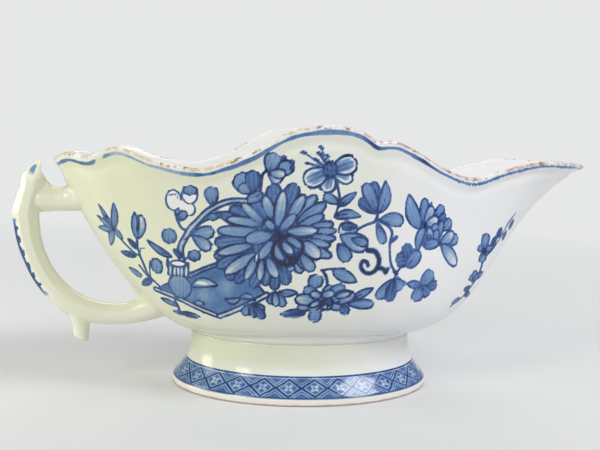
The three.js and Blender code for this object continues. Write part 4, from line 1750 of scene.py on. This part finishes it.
@dataclass(frozen=True)
class BowlGlaze(Glazed):
    """The bowl's glaze with the flower painting, the blue line under the rim and the worn brown crest."""

    name: str = "bowl_glaze"
    rust: Tint = Tint(0.47, 0.31, 0.17)
    ochre: Tint = Tint(0.78, 0.66, 0.43)
    blush: Tint = Tint(0.68, 0.46, 0.4)
    # The white of the slip on the flowers, which also whitens the inside and paints a highlight along the
    # lip.
    slip: Tint = Tint(0.93, 0.925, 0.925)
    line_depth: float = 1.55
    line_half: float = 0.7
    stern_drop: float = 0.7
    blotches: tuple[tuple[float, float], ...] = ((0.0115, 0.0165), (0.0325, 0.0385))
    worn_roughness: float = 0.35
    worn_height: float = -0.12

    def paint(self, n: Nodes, top: Surface) -> None:
        """Adds the painting, the rim line and the wear to the bare glaze.

        Args:
            n: the hand for the material's tree.
            top: the glaze, which this changes.
        """
        x, wash, depth = n.axis("X"), n.value_of("wash"), n.value_of("rim_depth")
        ragged = n.noise(0.0009, 2.0, -0.1, 0.1) + n.noise(0.005, 2.0, -0.24, 0.24)
        lines = n.step(n.value_of("ink") + ragged, -0.26, 0.2)
        press = n.within(x, (-0.05, -0.036), (0.006, 0.022)) * 0.1 + n.noise(0.006, 2.0, 0.57, 1.05)
        pooled = lines * n.step(wash, 0.84, 0.93) * 1.12
        density = n.largest(wash, lines * press, pooled, self._rim_line(n, x, depth))
        slip = n.step(wash * -1.0, 0.05, 0.3) * 0.75
        # Painted highlight: the band along the crest is mixed towards the whiter slip tint; the inside, whose
        # rim depth lies below zero, is mixed towards it too.
        lip = n.step(depth, 1.6, 0.4) * 0.8
        top.colour = self.blue(n, n.mix(n.largest(slip, lip), top.colour, self.slip), density)
        stain = n.mix(n.step(x, -0.02, 0.01), self.ochre, self.blush)
        broken = n.step(n.noise(0.014, 4.0), 0.4, 0.58) * n.step(n.noise(0.002, 3.0), 0.34, 0.56)
        thin = n.within(depth, (-1.8, -1.2), (0.05, 0.4)) * broken * 0.7
        crest = n.within(depth, (-3.2, -2.2), (0.0, 0.7))
        fine, patch = n.noise(0.0017, 4.0), n.noise(0.0065, 4.0)
        fret = crest * n.step(patch, 0.53, 0.6) * n.step(fine, 0.4, 0.52)
        core = crest * n.step(patch, 0.5, 0.56) * n.step(fine, 0.52, 0.59)
        for share, tint in ((thin, stain), (fret * 0.65, self.ochre), (core * 0.85, self.rust)):
            top.colour = n.mix(share, top.colour, tint)
        worn = n.largest(fret, core)
        top.roughness = worn * self.worn_roughness + top.roughness
        top.height = worn * self.worn_height + top.height

    def _rim_line(self, n: Nodes, x: Value, depth: Value) -> Value:
        """The hand-drawn blue line a little below the rim, broken once and feathered towards the spout.

        Args:
            n: the hand for the material's tree.
            x: the place along the bowl in metres.
            depth: how far below the crest it is.

        Returns:
            How dense the line is.
        """
        feather = n.noise(0.001, 2.0, -1.1, 1.1) * n.step(x, 0.04, 0.055)
        place = n.scale(n.step(x, -0.07, -0.082), self.line_depth, self.line_depth + self.stern_drop)
        offset = depth - (n.noise(0.02, 2.0, -0.4, 0.4) + feather + place)
        half = n.scale(n.step(n.noise(0.012), 0.3, 0.7), self.line_half * 0.6, self.line_half * 1.35)
        tone = n.scale(n.step(n.noise(0.02, 3.0), 0.3, 0.7), 0.46, 0.66)
        tone = n.step(n.noise(0.007, 3.0), 0.55, 0.68) * 0.24 + tone
        for low, high in self.blotches:
            tone = n.within(x, (low - 0.002, low + 0.001), (high - 0.001, high + 0.002)) * 0.26 + tone
        faded = n.within(x, (-0.078, -0.07), (-0.052, -0.044))
        lifted = n.within(x, (-0.0788, -0.0776), (-0.076, -0.0748))
        for share, left in ((n.step(offset, 0.0, 0.9), 0.72), (faded, 0.42), (lifted, 0.15)):
            tone = tone * n.scale(share, 1.0, left)
        return n.step(abs(offset) - half, 0.3, -0.24) * tone


@dataclass(frozen=True)
class FootGlaze(Glazed):
    """The foot's glaze with its band of lozenges and florets, the bare strip and the brown contact edge."""

    name: str = "foot_glaze"
    half_cells: float = 14.0
    edge: Tint = Tint(0.5, 0.3, 0.2)
    teal: Tint = Tint(0.2, 0.42, 0.5)
    # The darker green of the neck: partly glaze pooled thick in the cove, partly painted shade under the
    # bowl.
    neck_pool_and_shade: Tint = Tint(0.82, 0.84, 0.7)
    strip: Tint = Tint(0.94, 0.915, 0.905)
    middle: float = 0.48
    half_height: float = 0.4
    bare_rings: tuple[tuple[float, float], ...] = ((0.74, 0.055), (1.2, 0.05), (1.48, 0.045))

    def paint(self, n: Nodes, top: Surface) -> None:
        """Adds the band and the contact edge to the bare glaze.

        Args:
            n: the hand for the material's tree.
            top: the glaze, which this changes.
        """
        band = n.value_of("foot_band")
        # Painted shade: the neck under the bowl, more towards the handle end, is darkened to a greener tint,
        # partly glaze pooled thick in the cove and partly the shade under the bowl painted in.
        pooled = n.step(band, 1.1, 1.9) * n.scale(n.step(n.axis("X"), 0.04, -0.03), 0.1, 0.6)
        colour = n.mix(pooled, top.colour, self.neck_pool_and_shade)
        colour = n.mix(n.step(band, 0.0, -0.08) * 0.75, colour, self.strip)
        colour = self.blue(n, colour, self._band(n, band))
        colour = n.mix(n.ring(band, -0.015, 0.03) * 0.45, colour, self.teal)
        contact = n.step(n.axis("Z") + n.noise(0.004, 3.0, -0.0004, 0.0004), 0.0009, 0.0004)
        top.colour = n.mix(contact * 0.6, colour, self.edge)
        top.roughness = contact * 0.55 + top.roughness

    def _band(self, n: Nodes, band: Value) -> Value:
        """How dense the blue is on the band of lozenges between its two borders.

        Args:
            n: the hand for the material's tree.
            band: the place on the band, from 0 up to 1.

        Returns:
            The density.
        """
        shake = n.noise(0.003, 2.0, -0.035, 0.035)
        across = n.value_of("foot_turn") * self.half_cells + 0.5
        p = n.math("FRACT", across + shake) * 2.0 - 1.0
        r = (band - self.middle + shake) / self.half_height
        lozenge = abs(p) + abs(r)
        bare = n.largest(*(n.ring(lozenge, *ring) for ring in self.bare_rings), self._floret(n, p, r))
        density = n.largest(n.noise(0.004, 3.0, 0.56, 0.8), n.ring(lozenge, 0.97, 0.07) * 0.95)
        density = density * (1.0 - bare * 0.64) * (1.0 - n.ring(band, 0.915, 0.018) * 0.6)
        border = n.largest(n.ring(band, 0.985, 0.035), n.ring(band, 0.025, 0.03))
        density = n.largest(density, border * n.noise(0.006, 2.0, 0.7, 1.0))
        return density * n.within(band, (-0.03, 0.01), (1.0, 1.05))

    @staticmethod
    def _floret(n: Nodes, p: Value, r: Value) -> Value:
        """A floret of four round petals in the middle of a lozenge.

        Args:
            n: the hand for the material's tree.
            p: the place across the lozenge, from -1 to 1.
            r: the place up it.

        Returns:
            How much of the floret there is.
        """
        wide = p * 1.12
        away = n.math("SQRT", wide * wide + r * r)
        lobes = abs(n.math("SINE", n.math("ARCTAN2", r, wide) * 2.0))
        return n.step(away - n.scale(lobes, 0.13, 0.46), 0.06, -0.04) * n.step(away, 0.06, 0.11)


@dataclass(frozen=True)
class HandleGlaze(Glazed):
    """The handle's glaze with blue dashes down its back and a dab on the thumb rest."""

    name: str = "handle_glaze"
    rust: Tint = Tint(0.55, 0.36, 0.2)
    thin: Tint = Tint(0.95, 0.948, 0.875)
    beat: float = 4.0
    line_half: float = 3.1
    tooth_half: float = 3.8
    dab_place: float = 3.7
    dashes_begin: tuple[float, float] = (20.5, 24.0)
    dashes_end: tuple[float, float] = (46.0, 53.0)

    def paint(self, n: Nodes, top: Surface) -> None:
        """Adds the dashes, the dab and a few brown specks to the bare glaze.

        Args:
            n: the hand for the material's tree.
            top: the glaze, which this changes.
        """
        along = n.value_of("along_stem")
        ragged = n.noise(0.0016, 3.0, -0.5, 0.5)
        wander = along + n.noise(0.008, 2.0, -3.0, 3.0)
        beat = abs(n.math("FRACT", wander / self.beat) - 0.5)
        half = n.scale(n.step(beat, 0.34, 0.1), self.line_half, self.tooth_half)
        inked = ragged * 1.2 + half - n.value_of("off_middle")
        dashes = n.step(inked, -0.2, 0.2) * n.within(along, self.dashes_begin, self.dashes_end)
        middle = abs(ragged * 1.8 + along - self.dab_place)
        dab = n.step(middle, 3.0, 0.4) * n.step(abs(n.value_of("on_back") - 0.15), 0.62, 0.1)
        colour = n.mix(n.noise(0.012, 3.0, 0.55, 0.8), top.colour, self.thin)
        colour = self.blue(n, colour, n.largest(dashes * 0.8, dab * 0.46))
        top.colour = n.mix(n.step(n.noise(0.0035, 4.0), 0.74, 0.79) * 0.7, colour, self.rust)


@dataclass(frozen=True)
class Lamp:
    """A soft rectangular light that shines on the object."""

    name: str
    place: tuple[float, float, float]
    wide: float
    tall: float
    power: float
    tint: Tint = Tint(1.0, 1.0, 1.0)


@dataclass
class Studio:
    """The pale floor and the even ground behind it, the soft lights and the camera."""

    eye: tuple[float, float, float] = (-0.05212, -0.32587, 0.09108)
    swing: float = -8.53
    pitch: float = 5.42
    roll: float = 1.68
    focal_pixels: float = 859.76
    picture_width: int = 600
    floor_tint: Tint = Tint(0.88, 0.88, 0.878)
    floor_width: float = 6.0
    floor_roughness: float = 0.8
    ground_tint: Tint = Tint(0.905, 0.908, 0.91)
    room_tint: Tint = Tint(0.93, 0.94, 0.95)
    room_light: float = 0.46
    fade_from: float = 0.25
    fade_to: float = 0.72
    target: tuple[float, float, float] = (0.0, 0.0, 0.045)
    lamps: tuple[Lamp, ...] = (
        Lamp("key", (0.72, -0.42, 0.92), 0.5, 0.42, 6.6, Tint(0.985, 0.99, 1.0)),
        Lamp("warm_side", (-0.85, -0.7, 0.62), 0.3, 0.7, 3.9, Tint(1.0, 0.99, 0.94)),
        Lamp("window", (-0.75, 0.1, 0.24), 0.26, 0.46, 1.7),
        Lamp("front", (-0.1, -1.1, 0.55), 0.9, 0.6, 1.6),
        Lamp("back", (0.1, 0.85, 0.75), 0.9, 0.4, 2.6),
    )

    def build(self) -> None:
        """Builds the floor, the lights, the even room and the camera."""
        self._floor()
        self._lights()
        self._room()
        self._camera()

    def _floor(self) -> None:
        """A wide plain floor that the camera sees fade into the even ground behind."""
        deselect_all()
        bpy.ops.mesh.primitive_plane_add(size=self.floor_width, location=(0.0, 0.0, 0.0))
        floor = bpy.context.object
        floor.name = "studio_floor"
        bpy.ops.object.transform_apply(location=True, rotation=True, scale=True)
        material = bpy.data.materials.new("studio_floor")
        material.use_nodes = True
        n = Nodes(material.node_tree)
        shader = material.node_tree.nodes["Principled BSDF"]
        shader.inputs["Roughness"].default_value = self.floor_roughness
        paper = n.mix(n.noise(0.4, 2.0, 0.985, 1.0), Tint(0.0, 0.0, 0.0), self.floor_tint)
        n.put(shader.inputs["Base Color"], paper)
        away = n.add("ShaderNodeVectorMath", {0: n.here}, operation="LENGTH").outputs["Value"]
        seen = n.add("ShaderNodeLightPath").outputs["Is Camera Ray"]
        fade = n.step(away, self.fade_from, self.fade_to) * seen
        ground = n.add("ShaderNodeEmission", {"Color": self.ground_tint})
        both = n.add("ShaderNodeMixShader", {0: fade, 1: shader.outputs[0], 2: ground.outputs[0]})
        n.put(material.node_tree.nodes["Material Output"].inputs["Surface"], both.outputs[0])
        floor.data.materials.append(material)

    def _lights(self) -> None:
        """Hangs the lamps: the key at the right front, two at the left, one in front and one behind."""
        for lamp in self.lamps:
            light = bpy.data.lights.new(lamp.name, "AREA")
            light.shape = "RECTANGLE"
            light.size, light.size_y = lamp.wide, lamp.tall
            light.energy = lamp.power
            light.color = lamp.tint.linear()[:3]
            hung = bpy.data.objects.new(lamp.name, light)
            hung.location = lamp.place
            hung.rotation_euler = (Vector(self.target) - hung.location).to_track_quat("-Z", "Y").to_euler()
            bpy.context.scene.collection.objects.link(hung)

    def _room(self) -> None:
        """An even room that lights the object softly and looks as pale as the ground to the camera."""
        world = bpy.data.worlds.new("studio_room")
        bpy.context.scene.world = world
        world.use_nodes = True
        n = Nodes(world.node_tree)
        light = world.node_tree.nodes["Background"]
        n.put(light.inputs["Color"], self.room_tint)
        light.inputs["Strength"].default_value = self.room_light
        ground = n.add("ShaderNodeBackground", {"Color": self.ground_tint, "Strength": 1.0})
        seen = n.add("ShaderNodeLightPath").outputs["Is Camera Ray"]
        both = n.add("ShaderNodeMixShader", {0: seen, 1: light.outputs[0], 2: ground.outputs[0]})
        n.put(world.node_tree.nodes["World Output"].inputs["Surface"], both.outputs[0])

    def _camera(self) -> None:
        """The camera at the photograph's angle, from its swing to the handle's side, pitch and roll."""
        swing, pitch, roll = (math.radians(angle) for angle in (self.swing, self.pitch, self.roll))
        right = Vector((math.cos(swing), math.sin(swing), 0.0))
        level = Vector((-math.sin(swing), math.cos(swing), 0.0))
        ahead = level * math.cos(pitch) - Vector((0.0, 0.0, math.sin(pitch)))
        down = -Vector((0.0, 0.0, math.cos(pitch))) - level * math.sin(pitch)
        side = right * math.cos(roll) - down * math.sin(roll)
        up = -(right * math.sin(roll) + down * math.cos(roll))
        data = bpy.data.cameras.new("camera")
        data.sensor_width = 36.0
        data.lens = self.focal_pixels / self.picture_width * data.sensor_width
        data.clip_start = 0.01
        camera = bpy.data.objects.new("camera", data)
        turn = Matrix((side, up, -ahead)).transposed().to_4x4()
        camera.matrix_world = Matrix.Translation(Vector(self.eye)) @ turn
        bpy.context.scene.collection.objects.link(camera)
        bpy.context.scene.camera = camera
        bpy.context.scene.view_settings.view_transform = "Standard"


def main() -> None:
    """Builds the sauceboat and its studio."""
    logging.basicConfig(level=logging.INFO, format="%(name)s %(message)s")
    Studio().build()
    shell = BowlShell()
    for part in (Bowl(shell), Foot(), Handle(shell)):
        part.build()


if __name__ == "__main__":
    main()
